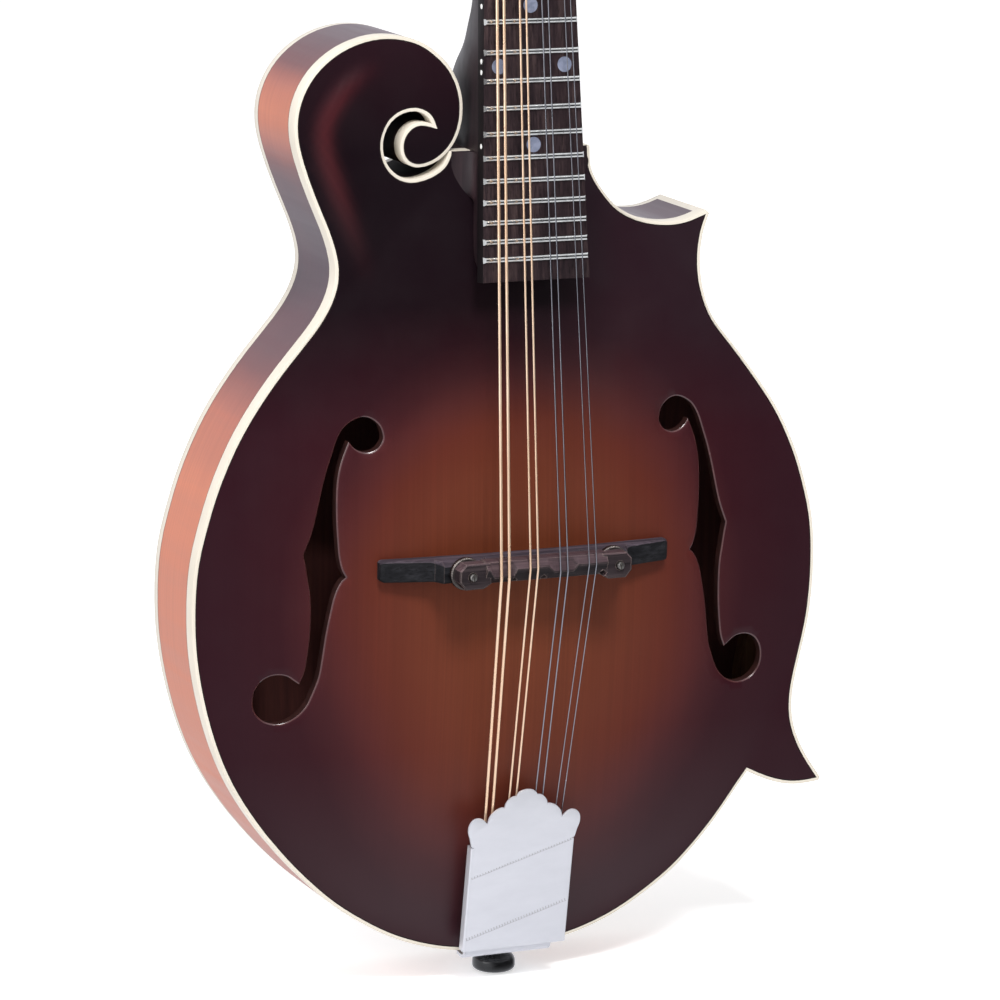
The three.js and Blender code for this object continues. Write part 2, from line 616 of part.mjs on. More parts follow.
// ---- fingerboard, riser, heel cap and nut ----
function fingerboard() {
  const start = alongNeck(BOARD_END_Z);
  const end = NUT_AT - GAP;
  const startHalf = boardHalfWidth(start);
  const endHalf = boardHalfWidth(end);
  const plan = [[-startHalf, start], [startHalf, start], [endHalf, end], [-endHalf, end]];
  let board = neckSolid(prismY(plan, 0, BOARD_T));
  // fret section: y, z from the fret line
  const section = [[0.4, -1.1], [-0.6, -1.1], [-1.05, -0.45], [-1.05, 0.45], [-0.6, 1.1], [0.4, 1.1]];
  for (let n = 1; n <= FRETS; n++) {
    const along = alongNeck(SCALE * 2 ** (-n / 12));
    const half = boardHalfWidth(along) - 0.15;
    board = board.add(neckSolid(prismX(section.map(([y, z]) => [y, along + z]), -half, half)));
  }
  return board;
}

// Extension of the neck that carries the fingerboard over the soundboard
function fingerboardRiser() {
  const outline = [
    [-25.5, 147.6], [-25.5, 141.5], [-22.5, 134.5], [-18.4, 130.5], [-18.4, 106.5],
    [18.4, 106.5], [18.4, 130.5], [22.5, 134.5], [25.5, 141.5], [25.5, 147.6],
  ];
  const behindBoard = neckSolid(box(-60, 60, BOARD_UNDER, 80, alongNeck(BOARD_END_Z) - 20, 12));
  return biggest(solidY(outline, -60, 20).intersect(behindBoard).intersect(spaceBeforeTop));
}

function heelCap() {
  const outline = [
    [-12.4, JOINT_Z + 1.8], [12.4, JOINT_Z + 1.8], [12, 161], [11, 167], [7, 171],
    [0, 172.6], [-7, 171], [-11, 167], [-12, 161],
  ];
  return prismY(outline, DEPTH + 0.1, DEPTH + 2.1);
}

function nut() {
  const section = [[4.9, 0], [-1.7, 0], [-2.4, 1.4], [-1.8, 4.6], [4.9, 4.6]]
    .map(([y, z]) => [y, z + NUT_AT + 0.1]);
  const slots = STRINGS.map(({ nutX, gauge }) => {
    const half = gauge / 2 + 0.15;
    return neckSolid(box(nutX - half, nutX + half, -6, -1.1, NUT_AT - 2, NUT_AT + 8));
  });
  return biggest(cut(neckSolid(prismX(section, -NUT_HALF + 0.1, NUT_HALF - 0.1)), ...slots));
}

// ---- bridge ----
const bridgePostAt = (side, y = 0) => vec(side * POST_X, y, BRIDGE_Z);
const bridgePostBore = (side) => solidRod(1.75, -40, 0, bridgePostAt(side), AXIS_Y, 10);

// Feet that follow the arch, seats for the wheels and low wings
function bridgeBase() {
  const front = [
    [-59, -13.4], [-40, -18.2], [-37.6, BASE_TOP_Y],
    [37.6, BASE_TOP_Y], [40, -18.2], [59, -13.4],
  ];
  const behind = [59, 50, 40, 30, 15, 0, -15, -30, -40, -50, -59].map((x) => [x, -9]);
  const bar = solidZ([...front, ...behind], BRIDGE_Z - 4.1, BRIDGE_Z + 4.1)
    .intersect(spaceBeforeTop);
  const holes = SIDES.map(([, side]) =>
    solidRod(1.9, -30, 0, bridgePostAt(side, -13.5), AXIS_Y, 10));
  const reliefOutline = [[-20, -40], [20, -40], [20, -20.5], [-20, -20.5]];
  const relief = solidZ(reliefOutline, BRIDGE_Z - 9, BRIDGE_Z + 9); // between the wheels
  return biggest(cut(bar, ...holes, relief));
}

const bridgePost = (side) => rod(1.6, -33.7, -13.8, bridgePostAt(side), AXIS_Y, 10);

function thumbwheel(side) {
  const [front, back] = [WHEEL_Y - WHEEL_HALF_T, WHEEL_Y + WHEEL_HALF_T];
  return cut(solidRod(6.2, front, back, bridgePostAt(side), AXIS_Y, 20), bridgePostBore(side));
}

// Bar on the two wheels, with a crest stepped in z for each string pair
function bridgeSaddle() {
  const plan = [
    [-35.5, -2.6], [-32, 0], [-25.5, 0], [-24, -1.5], [24, -1.5], [25.5, 0], [32, 0], [35.5, -2.6],
    [35.5, -6.6], [32, -9.2], [25.5, -9.2], [24, -7.7], [-24, -7.7], [-25.5, -9.2], [-32, -9.2],
    [-35.5, -6.6],
  ];
  const bar = solidY(plan, -32.2, WHEEL_Y - WHEEL_HALF_T - 0.1);
  const crests = Object.values(PAIRS).map(({ crestZ, crestX }) => {
    const section = [
      [-31.1, Math.max(crestZ - 2.6, -7.9)],
      [-31.1, Math.min(crestZ + 2.6, -1.3)],
      [SADDLE_Y, crestZ + 0.35],
      [SADDLE_Y, crestZ - 0.35],
    ];
    return solidX(section, crestX[0] - 0.05, crestX[1] + 0.05);
  });
  return biggest(cut(union(bar, ...crests), bridgePostBore(-1), bridgePostBore(1)));
}

// ---- tailpiece and end pin ----
// Plate over the edge of the body, bent back past the end pin, with string hooks
function tailpieceBase() {
  const section = [ // y, z
    [-8.5, -108], [-9.8, -108], [-3.4, -157], [-2.6, -161.9],
    [25, -161.9], [25, -160.7], [-1.4, -160.7], [-2.1, -157],
  ];
  const hooks = STRINGS.map(({ tailX, hookZ: z }) => solidX(
    [[-6.8, z], [-12.4, z + 0.6], [-12.4, z - 1.2], [-6.8, z - 2.4]], tailX - 0.9, tailX + 0.9));
  return biggest(union(cut(solidX(section, -18, 18), pinHole), ...hooks));
}

// Thin shell with a scalloped upper edge, side flanges and a bottom lip
function tailpieceCover() {
  const bottomZ = -157;
  const slope = Math.atan(0.154); // leans to the front going up
  const frame = new THREE.Matrix4().makeRotationX(slope).setPosition(0, -9, bottomZ);
  const placed = (geometry) => toSolid(geometry.applyMatrix4(frame));
  const outline = [ // x, body z
    [-21.3, bottomZ], [21.3, bottomZ], [21.5, -113.2], [22.2, -110.5], [23.2, -107],
    [22.7, -104], [20.4, -102.2], [17.6, -102.9], [15.4, -104.6], [14.6, -102], [12, -99.6],
    [9, -98.8], [8, -96.4], [5.4, -94.7], [2.8, -93], [0, -92.3], [-2.8, -93], [-5.4, -94.7],
    [-8, -96.4], [-9, -98.8], [-12, -99.6], [-14.6, -102], [-15.4, -104.6], [-17.6, -102.9],
    [-20.4, -102.2], [-22.7, -104], [-23.2, -107], [-22.2, -110.5], [-21.5, -113.2],
  ].map(([x, z]) => [x, (z - bottomZ) / Math.cos(slope)]);
  return biggest(union(
    placed(prismY(outline, 0, 1)),
    placed(box(-21.4, -20.4, 0.5, 3.6, 0.2, 43.5)),
    placed(box(20.4, 21.4, 0.5, 3.6, 0.2, 43.5)),
    placed(box(-21.2, 21.2, 0.5, 3.4, 0, 1)),
  ));
}

function endPin() {
  const profile = [
    [0, 0], [6.7, 0], [7.9, 0.9], [8.3, 2.5], [7.8, 5],
    [5.6, 6.6], [4.6, 8.8], [3, 8.8], [2.7, 30], [0, 30],
  ];
  return lathe(profile, vec(0, PIN_Y, PIN_FACE_Z), AXIS_Z, 16);
}

// ---- tuners, drawn in the headstock frame ----
// Mounting plate on the back of the headstock, with two bearings for each worm
function tunerPlate(side) {
  const sideBox = (x0, x1, ...rest) =>
    toSolid(box(Math.min(side * x0, side * x1), Math.max(side * x0, side * x1), ...rest));
  let plate = sideBox(
    14.5, 30, TUNER_PLATE_FRONT, TUNER_PLATE_BACK, TUNER_Z[0] - 13, TUNER_Z[3] + 9);
  for (const z of TUNER_Z) {
    const wormZ = z + WORM_DZ;
    const bearings = [[15, 16.6], [26.6, 29]].map(([x0, x1]) =>
      sideBox(x0, x1, TUNER_PLATE_BACK - 0.3, WORM_Y + 2.4, wormZ - 2.6, wormZ + 2.6));
    plate = cut(
      union(plate, ...bearings),
      solidRod(1.75, 10, 40, vec(0, WORM_Y, wormZ), vec(side, 0, 0), 6),
      toSolid(postHole({ x: side * TUNER_X, z })),
    );
  }
  return toHead(toGeometry(biggest(plate)));
}

// Single-start thread as a closed spiral bar whose root sits inside the shaft
function wormThread() {
  const rootR = 1.2;
  const endR = 1.5; // crest radius where the thread fades out
  return loft(Array.from({ length: WORM_SECTIONS + 1 }, (_, i) => {
    const angle = (i / WORM_STEPS) * 2 * Math.PI;
    const x = -WORM_LENGTH / 2 + (i / WORM_SECTIONS) * WORM_LENGTH;
    const fade = Math.min(1, i / 3, (WORM_SECTIONS - i) / 3);
    const crestR = endR + (WORM_R + 0.5 - endR) * fade;
    return [[rootR, -0.5], [crestR, -0.18], [crestR, 0.18], [rootR, 0.5]]
      .map(([radius, dx]) => [x + dx, radius * Math.cos(angle), radius * Math.sin(angle)]);
  }));
}

// Worm shaft along x with an oval button
function tunerKnob({ side, x, z }) {
  const at = vec(0, WORM_Y, z + WORM_DZ);
  const axis = vec(side, 0, 0);
  const worm = wormThread();
  if (side < 0) worm.rotateZ(Math.PI);
  const buttonProfile = [[0, 41], [5.2, 42], [7.9, 49], [7.2, 57], [0, 61.5]];
  const button = lathe(buttonProfile, vec(0, 0, 0), axis, 8)
    .scale(1, 0.42, 1)
    .translate(at.x, at.y, at.z);
  return toHead(toGeometry(union(
    solidRod(1.45, 15.4, 43, at, axis, 8),
    toSolid(worm.translate(x, at.y, at.z)),
    toSolid(button),
  )));
}

function gearOutline() {
  const pitch = (2 * Math.PI) / GEAR_TEETH;
  const tipR = GEAR_R + 0.5;
  const rootR = GEAR_R - 0.8;
  const tooth = [[rootR, -0.27], [tipR, -0.1], [tipR, 0.1], [rootR, 0.27]]; // radius, pitches
  return Array.from({ length: GEAR_TEETH }, (_, i) => tooth.map(([radius, part]) => {
    const angle = (i + part) * pitch;
    return [radius * Math.cos(angle), radius * Math.sin(angle)];
  })).flat();
}

// Teeth lean to follow the thread, and a gap faces the thread at rest
function gearWheel(side) {
  const gear = prismZ(gearOutline(), 0, GEAR_T);
  const threadX = -side * (WORM_LENGTH / 2 - WORM_LEAD / 4 - WORM_LEAD);
  const lean = WORM_LEAD / (2 * Math.PI * WORM_R * GEAR_R);
  const { position } = gear.attributes;
  for (let i = 0; i < position.count; i++) {
    const angle = -Math.PI / 2 - threadX / GEAR_R + lean * (position.getZ(i) - GEAR_T / 2);
    const cos = Math.cos(angle);
    const sin = Math.sin(angle);
    const x = position.getX(i);
    const y = position.getY(i);
    position.setXY(i, x * cos - y * sin, x * sin + y * cos);
  }
  return gear.rotateX(-Math.PI / 2);
}

// Gear and string post in one piece, with a cross hole for the string
function tunerPost({ side, x, z }) {
  const gear = toSolid(gearWheel(side).translate(x, GEAR_FRONT, z));
  const post = solidRod(POST_R, -12.5, GEAR_FRONT + 1, vec(x, 0, z), AXIS_Y, 8);
  const stringHole = solidRod(0.75, -10, 10, vec(x, -9.6, z), AXIS_X, 4);
  return toHead(toGeometry(biggest(cut(union(gear, post), stringHole))));
}

// ---- strings ----
// From the tailpiece hook over the saddle and nut to one and a half turns round the post
function string({ gauge, crestZ, saddleX, nutX, tailX, hookZ, tuner }) {
  const radius = Math.max(gauge / 2, 0.2);
  const turnSteps = 8;
  const wrapR = POST_R + 0.25 + radius;
  const pitch = 2 * radius + 0.12;
  // start on the side of the post that faces the middle for treble, the far side for neither
  const startAngle = tuner.side < 0 ? 0 : Math.PI;
  const wrap = Array.from({ length: turnSteps * 1.5 + 1 }, (_, i) => {
    const turns = i / turnSteps;
    const angle = startAngle - tuner.side * turns * 2 * Math.PI;
    return headPoint(
      tuner.x + wrapR * Math.cos(angle),
      -6.4 + turns * pitch,
      tuner.z + wrapR * Math.sin(angle),
    );
  });
  const path = [
    [tailX, -9.4, hookZ + 1.4],
    [tailX, -12.2, -108],
    [saddleX, SADDLE_Y - 0.12 - radius, crestZ],
    neckPoint(nutX, -1.3 - radius, NUT_AT + 1.6),
    neckPoint(nutX, -1.25 - radius, NUT_AT + 4.9),
    ...wrap,
  ];
  return wire(path, radius, 5);
}

// ---- assembly ----
const MATERIALS = {
  spruce: { color: 0x6e3220, roughness: 0.42, metalness: 0 },
  maple: { color: 0xb9795f, roughness: 0.35, metalness: 0 },
  neck: { color: 0x3b2c33, roughness: 0.45, metalness: 0 },
  ivory: { color: 0xefe6d3, roughness: 0.4, metalness: 0 },
  ebony: { color: 0x2b2728, roughness: 0.55, metalness: 0 },
  block: { color: 0xc9a577, roughness: 0.7, metalness: 0 },
  nickel: { color: 0xd2d2da, roughness: 0.25, metalness: 1 },
  steel: { color: 0xc4c8cc, roughness: 0.25, metalness: 1 },
  bronze: { color: 0xc9a06a, roughness: 0.35, metalness: 1 },
  pearl: { color: 0xe4e0d4, roughness: 0.3, metalness: 0 },
  black: { color: 0x171617, roughness: 0.3, metalness: 0 },
  bone: { color: 0xece6d6, roughness: 0.45, metalness: 0 },
  brass: { color: 0xb99750, roughness: 0.35, metalness: 1 },
};

const group = new THREE.Group();
const body = new THREE.Group();
body.position.set(0, -PIN_Y, -PIN_FACE_Z);
group.add(body);

function addPart(name, shape, material) {
  const geometry = shape.isBufferGeometry ? shape : toGeometry(shape);
  const mesh = new THREE.Mesh(geometry, new THREE.MeshStandardMaterial(MATERIALS[material]));
  mesh.name = name;
  body.add(mesh);
}

addPart("top_plate", topPlate(), "spruce");
addPart("back_plate", backPlate(), "maple");
addPart("top_binding", topBinding(), "ivory");
addPart("back_binding", backBinding(), "ivory");
addPart("rim", rim(), "maple");
addPart("head_block", block(HEAD_BLOCK, tenonSlot), "block");
addPart("tail_block", block(TAIL_BLOCK, pinHole), "block");
addPart("upper_point_block", pointBlock(UPPER_POINT_BLOCK), "block");
addPart("lower_point_block", pointBlock(LOWER_POINT_BLOCK), "block");
addLinings("top_lining", INSIDE_FRONT, TOP_LINING_BACK);
addLinings("back_lining", BACK_LINING_FRONT, INSIDE_BACK);
for (const [name, side] of SIDES) addPart(`tone_bar_${name}`, toneBar(side), "block");

addPart("neck", neck(), "neck");
addPart("headstock_overlay", headstockOverlay(), "ebony");
addPart("truss_rod_cover", trussRodCover(), "black");
addPart("truss_rod", trussRod(), "steel");
addPart("truss_rod_nut", trussRodNut(), "brass");
addPart("fingerboard", fingerboard(), "ebony");
addPart("fingerboard_riser", fingerboardRiser(), "neck");
addPart("heel_cap", heelCap(), "ivory");
addPart("nut", nut(), "bone");

addPart("bridge_base", bridgeBase(), "ebony");
for (const [name, side] of SIDES) {
  addPart(`bridge_post_${name}`, bridgePost(side), "steel");
  addPart(`thumbwheel_${name}`, thumbwheel(side), "brass");
}
addPart("bridge_saddle", bridgeSaddle(), "ebony");
addPart("tailpiece_base", tailpieceBase(), "nickel");
addPart("tailpiece_cover", tailpieceCover(), "nickel");
addPart("end_pin", endPin(), "black");

for (const [name, side] of SIDES) addPart(`tuner_plate_${name}`, tunerPlate(side), "nickel");
for (const tuner of TUNERS) {
  addPart(`tuner_knob_${tuner.name}`, tunerKnob(tuner), "pearl");
  addPart(`tuner_post_${tuner.name}`, tunerPost(tuner), "nickel");
}
for (const each of STRINGS) addPart(`string_${each.name}`, string(each), each.material);

export default group;
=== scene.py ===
import math
from functools import cached_property

import bpy
import numpy as np
from mathutils import Matrix, Vector
from mathutils.geometry import delaunay_2d_cdt


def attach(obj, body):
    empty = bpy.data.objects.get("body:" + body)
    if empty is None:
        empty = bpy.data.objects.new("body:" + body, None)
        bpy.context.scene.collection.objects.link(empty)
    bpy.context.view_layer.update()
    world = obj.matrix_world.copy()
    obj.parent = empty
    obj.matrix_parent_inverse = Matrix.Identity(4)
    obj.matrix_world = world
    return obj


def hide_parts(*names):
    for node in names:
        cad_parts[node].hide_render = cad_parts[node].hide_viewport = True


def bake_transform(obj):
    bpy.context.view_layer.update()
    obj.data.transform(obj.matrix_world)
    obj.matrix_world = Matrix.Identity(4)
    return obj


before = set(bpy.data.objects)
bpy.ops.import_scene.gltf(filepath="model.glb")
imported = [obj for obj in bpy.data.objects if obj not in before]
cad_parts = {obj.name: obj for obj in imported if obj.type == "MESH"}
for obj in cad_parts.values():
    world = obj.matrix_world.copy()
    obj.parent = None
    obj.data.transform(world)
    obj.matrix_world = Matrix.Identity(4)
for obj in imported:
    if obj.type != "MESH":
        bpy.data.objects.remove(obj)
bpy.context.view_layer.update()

# ------------------------------------------------------------------ dimensions, mm
DEG = math.pi / 180
SCALE = 352.4  # nut to bridge line
DEPTH = 41.0
TOP_ARCH, BACK_ARCH = 13.0, 11.5
BIND_W, TOP_BIND_H, BACK_BIND_H = 1.3, 6.0, 4.0
PLATE_T = 4.0
JOINT_Z, BOARD_Y, NECK_ANGLE = 148.17, -13.07, 5.85 * DEG
BOARD_T, BOARD_END_Z, NUT_HALF, HALF_SLOPE = 5.5, 102.7, 14.2, 0.0298
HEAD_ANGLE, HEAD_T, OVERLAY_T = 14 * DEG, 13.0, 2.2
BRIDGE_Z, POST_X, CREST_Y = -4.6, 30.0, -33.5
COVER_Y, COVER_Z, COVER_TILT = -9, -157, math.atan(0.154)
PIN_Y, PIN_Z = 10, -171  # centre of the end pin's outer face, the origin of the row frame
GEAR_TEETH, GEAR_R, WORM_R = 15, 4.875, 2.1
WORM_LEAD = 2 * math.pi * GEAR_R / GEAR_TEETH
WORM_TURNS = 16 / 6
TUNER_Z, TUNER_X = [33, 56, 79, 102], 21.5
SIDES = (("bass", -1), ("treble", 1))
TIPS = [(78.6, 121.6), (134.0, -105.4)]  # x, z of the body's two points

# name, gauge, x at bridge, nut and tail, z of the saddle crest, side and number of its post
STRINGS = [
    ("g_outer", 1.0, -19.3, -11.6, -14.9, -5.2, -1, 0),
    ("g_inner", 1.0, -16.1, -9.2, -12.2, -5.2, -1, 1),
    ("d_outer", 0.66, -7.5, -4.4, -5.8, -2.7, -1, 2),
    ("d_inner", 0.66, -4.4, -2.2, -3.0, -2.7, -1, 3),
    ("a_inner", 0.4, 4.9, 2.2, 4.7, -4.7, 1, 3),
    ("a_outer", 0.4, 7.9, 4.4, 7.8, -4.7, 1, 2),
    ("e_inner", 0.28, 16.6, 9.4, 13.7, -2.8, 1, 1),
    ("e_outer", 0.28, 19.6, 11.4, 16.5, -2.8, 1, 0),
]
WOUND = 4  # the first four strings are wound


def pairs(*values):
    return np.array(values, float).reshape(-1, 2)


# edge of the plates: x, z pairs, clockwise seen from the front, from the treble side of the neck
BODY_EDGE = pairs(
    27.5,148.3, 27.67,144.33, 27.89,142.36, 28.07,141.39, 28.32,140.44, 29.0,138.59, 30.38,135.96,
    31.45,134.28, 33.17,131.85, 35.03,129.51, 37.0,127.28, 38.43,125.9, 39.96,124.64, 41.6,123.52,
    43.31,122.52, 45.08,121.62, 47.82,120.43, 49.69,119.77, 51.59,119.2, 53.53,118.75,
    56.46,118.23, 59.43,117.89, 61.41,117.77, 63.4,117.75, 65.38,117.85, 67.35,118.07,
    69.31,118.42, 72.19,119.18, 77.8,121.2, 76.47,117.43, 75.9,115.52, 75.44,113.58, 74.84,109.64,
    74.68,107.65, 74.59,104.66, 74.69,101.66, 74.86,99.67, 75.44,95.72, 75.85,93.77, 76.6,90.87,
    77.5,88.01, 78.2,86.14, 79.43,83.42, 80.37,81.66, 81.43,79.97, 82.58,78.35, 84.44,76.0,
    88.98,70.67, 92.8,66.04, 97.19,60.59, 100.87,55.85, 104.48,51.05, 106.81,47.8, 109.02,44.47,
    111.09,41.04, 113.01,37.54, 115.25,33.06, 117.31,28.51, 118.84,24.81, 120.22,21.06,
    121.78,16.31, 123.5,10.56, 124.78,5.73, 125.62,1.82, 126.11,-1.14, 126.59,-5.11, 126.9,-9.1,
    127.09,-13.09, 127.17,-18.09, 127.11,-23.09, 126.89,-28.09, 126.31,-35.06, 125.8,-39.03,
    125.31,-41.99, 124.33,-46.89, 121.03,-61.53, 120.16,-66.45, 119.8,-69.43, 119.66,-71.42,
    119.63,-74.41, 119.73,-76.4, 119.95,-78.38, 120.27,-80.35, 120.98,-83.25, 121.92,-86.09,
    123.47,-89.77, 124.8,-92.45, 126.8,-95.91, 129.0,-99.25, 133.0,-105.0, 129.08,-105.41,
    125.16,-105.53, 123.19,-105.44, 121.24,-105.24, 118.35,-104.71, 114.56,-103.64,
    110.87,-102.28, 107.27,-100.68, 102.0,-98.0, 97.7,-103.51, 91.18,-112.36, 87.45,-117.06,
    84.86,-120.1, 81.52,-123.81, 78.77,-126.71, 75.94,-129.54, 73.02,-132.27, 70.76,-134.23,
    68.43,-136.1, 66.02,-137.89, 61.91,-140.72, 57.71,-143.43, 54.29,-145.5, 50.82,-147.47,
    47.26,-149.29, 44.54,-150.55, 41.78,-151.71, 38.05,-153.13, 34.26,-154.4, 30.43,-155.52,
    26.55,-156.47, 23.62,-157.07, 19.67,-157.71, 15.71,-158.19, 11.73,-158.55, 7.74,-158.79,
    3.74,-158.92, -1.25,-158.96, -6.25,-158.85, -10.24,-158.65, -14.22,-158.34, -18.19,-157.91,
    -22.15,-157.33, -25.09,-156.79, -28.01,-156.13, -31.88,-155.11, -35.69,-153.93,
    -39.46,-152.61, -43.17,-151.14, -45.91,-149.93, -48.61,-148.62, -52.13,-146.74,
    -55.59,-144.73, -58.98,-142.62, -63.15,-139.88, -66.43,-137.59, -69.62,-135.18,
    -72.71,-132.65, -75.7,-130.01, -78.62,-127.28, -82.19,-123.78, -85.67,-120.2, -88.38,-117.26,
    -91.68,-113.51, -97.4,-106.57, -99.83,-103.4, -102.75,-99.34, -105.55,-95.2, -107.7,-91.83,
    -109.75,-88.4, -111.68,-84.91, -113.9,-80.44, -115.92,-75.87, -117.73,-71.21, -119.36,-66.49,
    -120.83,-61.72, -122.4,-55.93, -123.77,-50.09, -124.76,-45.2, -125.6,-40.27, -126.27,-35.32,
    -126.67,-31.35, -126.99,-26.36, -127.14,-21.37, -127.13,-15.38, -126.95,-10.38, -126.58,-5.4,
    -126.24,-2.43, -125.81,0.54, -124.85,5.44, -123.12,12.21, -120.89,19.89, -119.01,25.58,
    -116.88,31.18, -114.11,37.6, -111.51,43.0, -109.14,47.4, -106.05,52.53, -102.74,57.54,
    -99.26,62.42, -96.23,66.38, -92.45,71.04, -82.01,83.14, -79.54,86.28, -77.81,88.72,
    -75.72,92.11, -74.37,94.77, -73.26,97.53, -72.43,100.38, -72.05,102.32, -71.83,104.28,
    -71.79,107.23, -71.96,109.2, -72.27,111.16, -73.21,115.02, -74.46,118.81, -75.89,122.54,
    -81.1,134.44, -83.7,140.93, -86.0,147.53, -86.86,150.41, -87.6,153.31, -87.99,155.26,
    -88.28,157.23, -88.44,159.21, -88.49,161.2, -88.4,163.19, -88.17,165.16, -87.8,167.12,
    -87.29,169.04, -86.27,171.84, -84.98,174.53, -83.43,177.07, -81.63,179.45, -79.61,181.65,
    -77.38,183.64, -74.99,185.43, -73.32,186.51, -71.6,187.51, -68.91,188.81, -66.12,189.9,
    -62.29,191.0, -59.35,191.57, -56.38,191.88, -53.39,191.91, -50.4,191.69, -47.44,191.23,
    -44.53,190.52, -42.64,189.9, -40.79,189.14, -39.02,188.22, -37.33,187.16, -34.93,185.37,
    -32.68,183.4, -30.58,181.27, -29.33,179.72, -28.22,178.06, -26.81,175.42, -26.03,173.58,
    -25.4,171.69, -24.92,169.76, -24.61,167.79, -24.46,165.8, -24.52,162.81, -24.75,160.83,
    -25.41,157.91, -26.07,156.03, -26.9,154.22, -27.92,152.51, -29.13,150.94, -30.52,149.5,
    -31.26,148.85, -32.86,147.66, -33.71,147.15, -35.51,146.31, -37.4,145.69, -38.37,145.47,
    -40.33,145.27, -41.3,145.33, -42.25,145.54, -43.16,145.88, -44.0,146.35, -44.74,146.96,
    -45.37,147.68, -45.88,148.51, -46.25,149.4, -46.5,150.35, -46.64,151.32, -46.65,152.3,
    -46.55,153.28, -46.33,154.23, -45.99,155.15, -45.54,156.01, -44.98,156.82, -44.33,157.55,
    -43.59,158.2, -42.78,158.73, -41.91,159.14, -40.98,159.39, -40.01,159.5, -39.03,159.47,
    -38.05,159.36, -36.12,158.9, -33.3,158.0, -34.39,160.8, -34.82,161.7, -35.35,162.54,
    -35.98,163.3, -36.71,163.97, -37.52,164.55, -39.3,165.45, -41.21,165.98, -42.2,166.11,
    -44.2,166.08, -45.19,165.94, -47.12,165.46, -48.97,164.7, -50.67,163.65, -52.19,162.35,
    -52.87,161.62, -54.04,160.01, -54.52,159.13, -55.27,157.28, -55.79,155.35, -55.95,154.36,
    -56.05,153.36, -56.03,151.37, -55.74,149.39, -55.49,148.42, -54.8,146.54, -53.87,144.77,
    -52.7,143.15, -51.31,141.72, -49.71,140.52, -47.96,139.56, -46.08,138.88, -44.12,138.51,
    -43.13,138.44, -41.13,138.52, -38.18,139.08, -35.33,140.04, -33.52,140.9, -31.81,141.94,
    -30.26,143.19, -29.59,143.92, -29.01,144.73, -28.1,146.5, -27.4,148.3)

# f-hole on the bass side: x, z pairs, and the numbers of its sharp corners
FHOLE = pairs(
    -56.5,45.8, -57.7,49.5, -61.0,52.4, -64.3,53.1, -68.0,51.9, -71.4,49.3, -73.8,45.4,
    -76.1,39.0, -78.2,32.7, -79.9,26.3, -81.2,20.7, -82.5,15.1, -84.1,9.5, -86.9,2.4, -86.0,-1.9,
    -85.2,-6.8, -84.3,-12.6, -84.0,-20.9, -84.3,-29.2, -85.0,-35.8, -86.1,-42.4, -87.9,-46.8,
    -89.7,-45.5, -92.2,-43.7, -95.1,-42.9, -98.8,-43.2, -102.0,-44.9, -104.3,-48.1,
    -105.2,-52.3, -104.5,-56.5, -101.6,-60.0, -98.3,-61.5, -94.2,-61.8, -89.4,-59.8,
    -85.4,-55.9, -82.7,-50.1, -80.7,-44.4, -79.6,-37.7, -78.5,-29.5, -77.0,-21.3, -75.0,-13.1,
    -72.6,-8.3, -70.8,-6.7, -72.2,-4.2, -73.5,0.8, -74.1,7.4, -74.5,14.7, -74.5,23.6, -74.0,30.1,
    -72.8,35.7, -71.1,40.4, -69.5,44.1, -67.8,41.9, -65.3,40.3, -62.0,39.8, -58.7,41.1,
    -56.7,43.8)
FHOLE_CORNERS = {13, 21, 42, 51}

# crest of the carved ridge round the scroll: x, z pairs, with the scroll's centre on the left
RIDGE = pairs(
    -52.0,181.5, -60.9,179.0, -67.5,174.8, -72.8,168.8, -76.4,162.8, -77.5,156.6, -76.2,148.7,
    -73.7,141.9, -70.6,133.8, -66.8,124.6, -63.7,117.1, -60.5,108.0, -57.5,99.0)

# headstock outline in its own frame: x, z pairs
HEAD = pairs(
    -14.5,-1, -15.2,8, -19,17, -27,26, -34,34, -37.6,44, -37.6,56, -35.2,70, -32.6,84, -31.8,97,
    -33.4,108, -36.5,117, -36.4,125, -31,130.5, -24.5,129, -20.5,123.5, -15,121.5, -9,125.5,
    -4,133, 3,140.5, 13,144.5, 23,143, 30.5,136.5, 32.6,128, 29.5,121.5, 28.4,113, 30.2,102,
    32.4,88, 35.2,72, 37.6,57, 37.6,44, 34,34, 27,26, 19,17, 15.2,8, 14.5,-1)


# ------------------------------------------------------------------ frames
def points(values):
    return np.asarray(values, float).reshape(-1, 3)


def tilted_frame(origin_y, origin_z, angle):
    """Function that takes points of a frame turned about x into its parent frame."""
    cos, sin = math.cos(angle), math.sin(angle)

    def place(local):
        x, y, z = points(local).T
        return np.c_[x, origin_y + y * cos + z * sin, origin_z - y * sin + z * cos]

    return place


def along(z):
    """Distance along the neck frame of a body height z."""
    return (z - JOINT_Z) / math.cos(NECK_ANGLE)


NUT_ALONG = along(SCALE)
neck = tilted_frame(BOARD_Y, JOINT_Z, NECK_ANGLE)  # y = 0 on the board's face
head_in_neck = tilted_frame(3.2, NUT_ALONG + 5, HEAD_ANGLE)
cover = tilted_frame(COVER_Y, COVER_Z, -COVER_TILT)  # y = 0 on the cover's outer face


def head(local):
    return neck(head_in_neck(local))


def half_width(distance):
    """Half the fingerboard's width at a distance along the neck."""
    return NUT_HALF + (SCALE - (JOINT_Z + distance * math.cos(NECK_ANGLE))) * HALF_SLOPE


def to_row(body_points):
    return (points(body_points) - [0, PIN_Y, PIN_Z]) * 0.001


def at_depth(outline, y):
    return np.c_[outline[:, 0], np.full(len(outline), y), outline[:, 1]]


# ------------------------------------------------------------------ plane geometry
def area(loop):
    following = np.roll(loop, -1, 0)
    return 0.5 * float(np.sum(loop[:, 0] * following[:, 1] - following[:, 0] * loop[:, 1]))


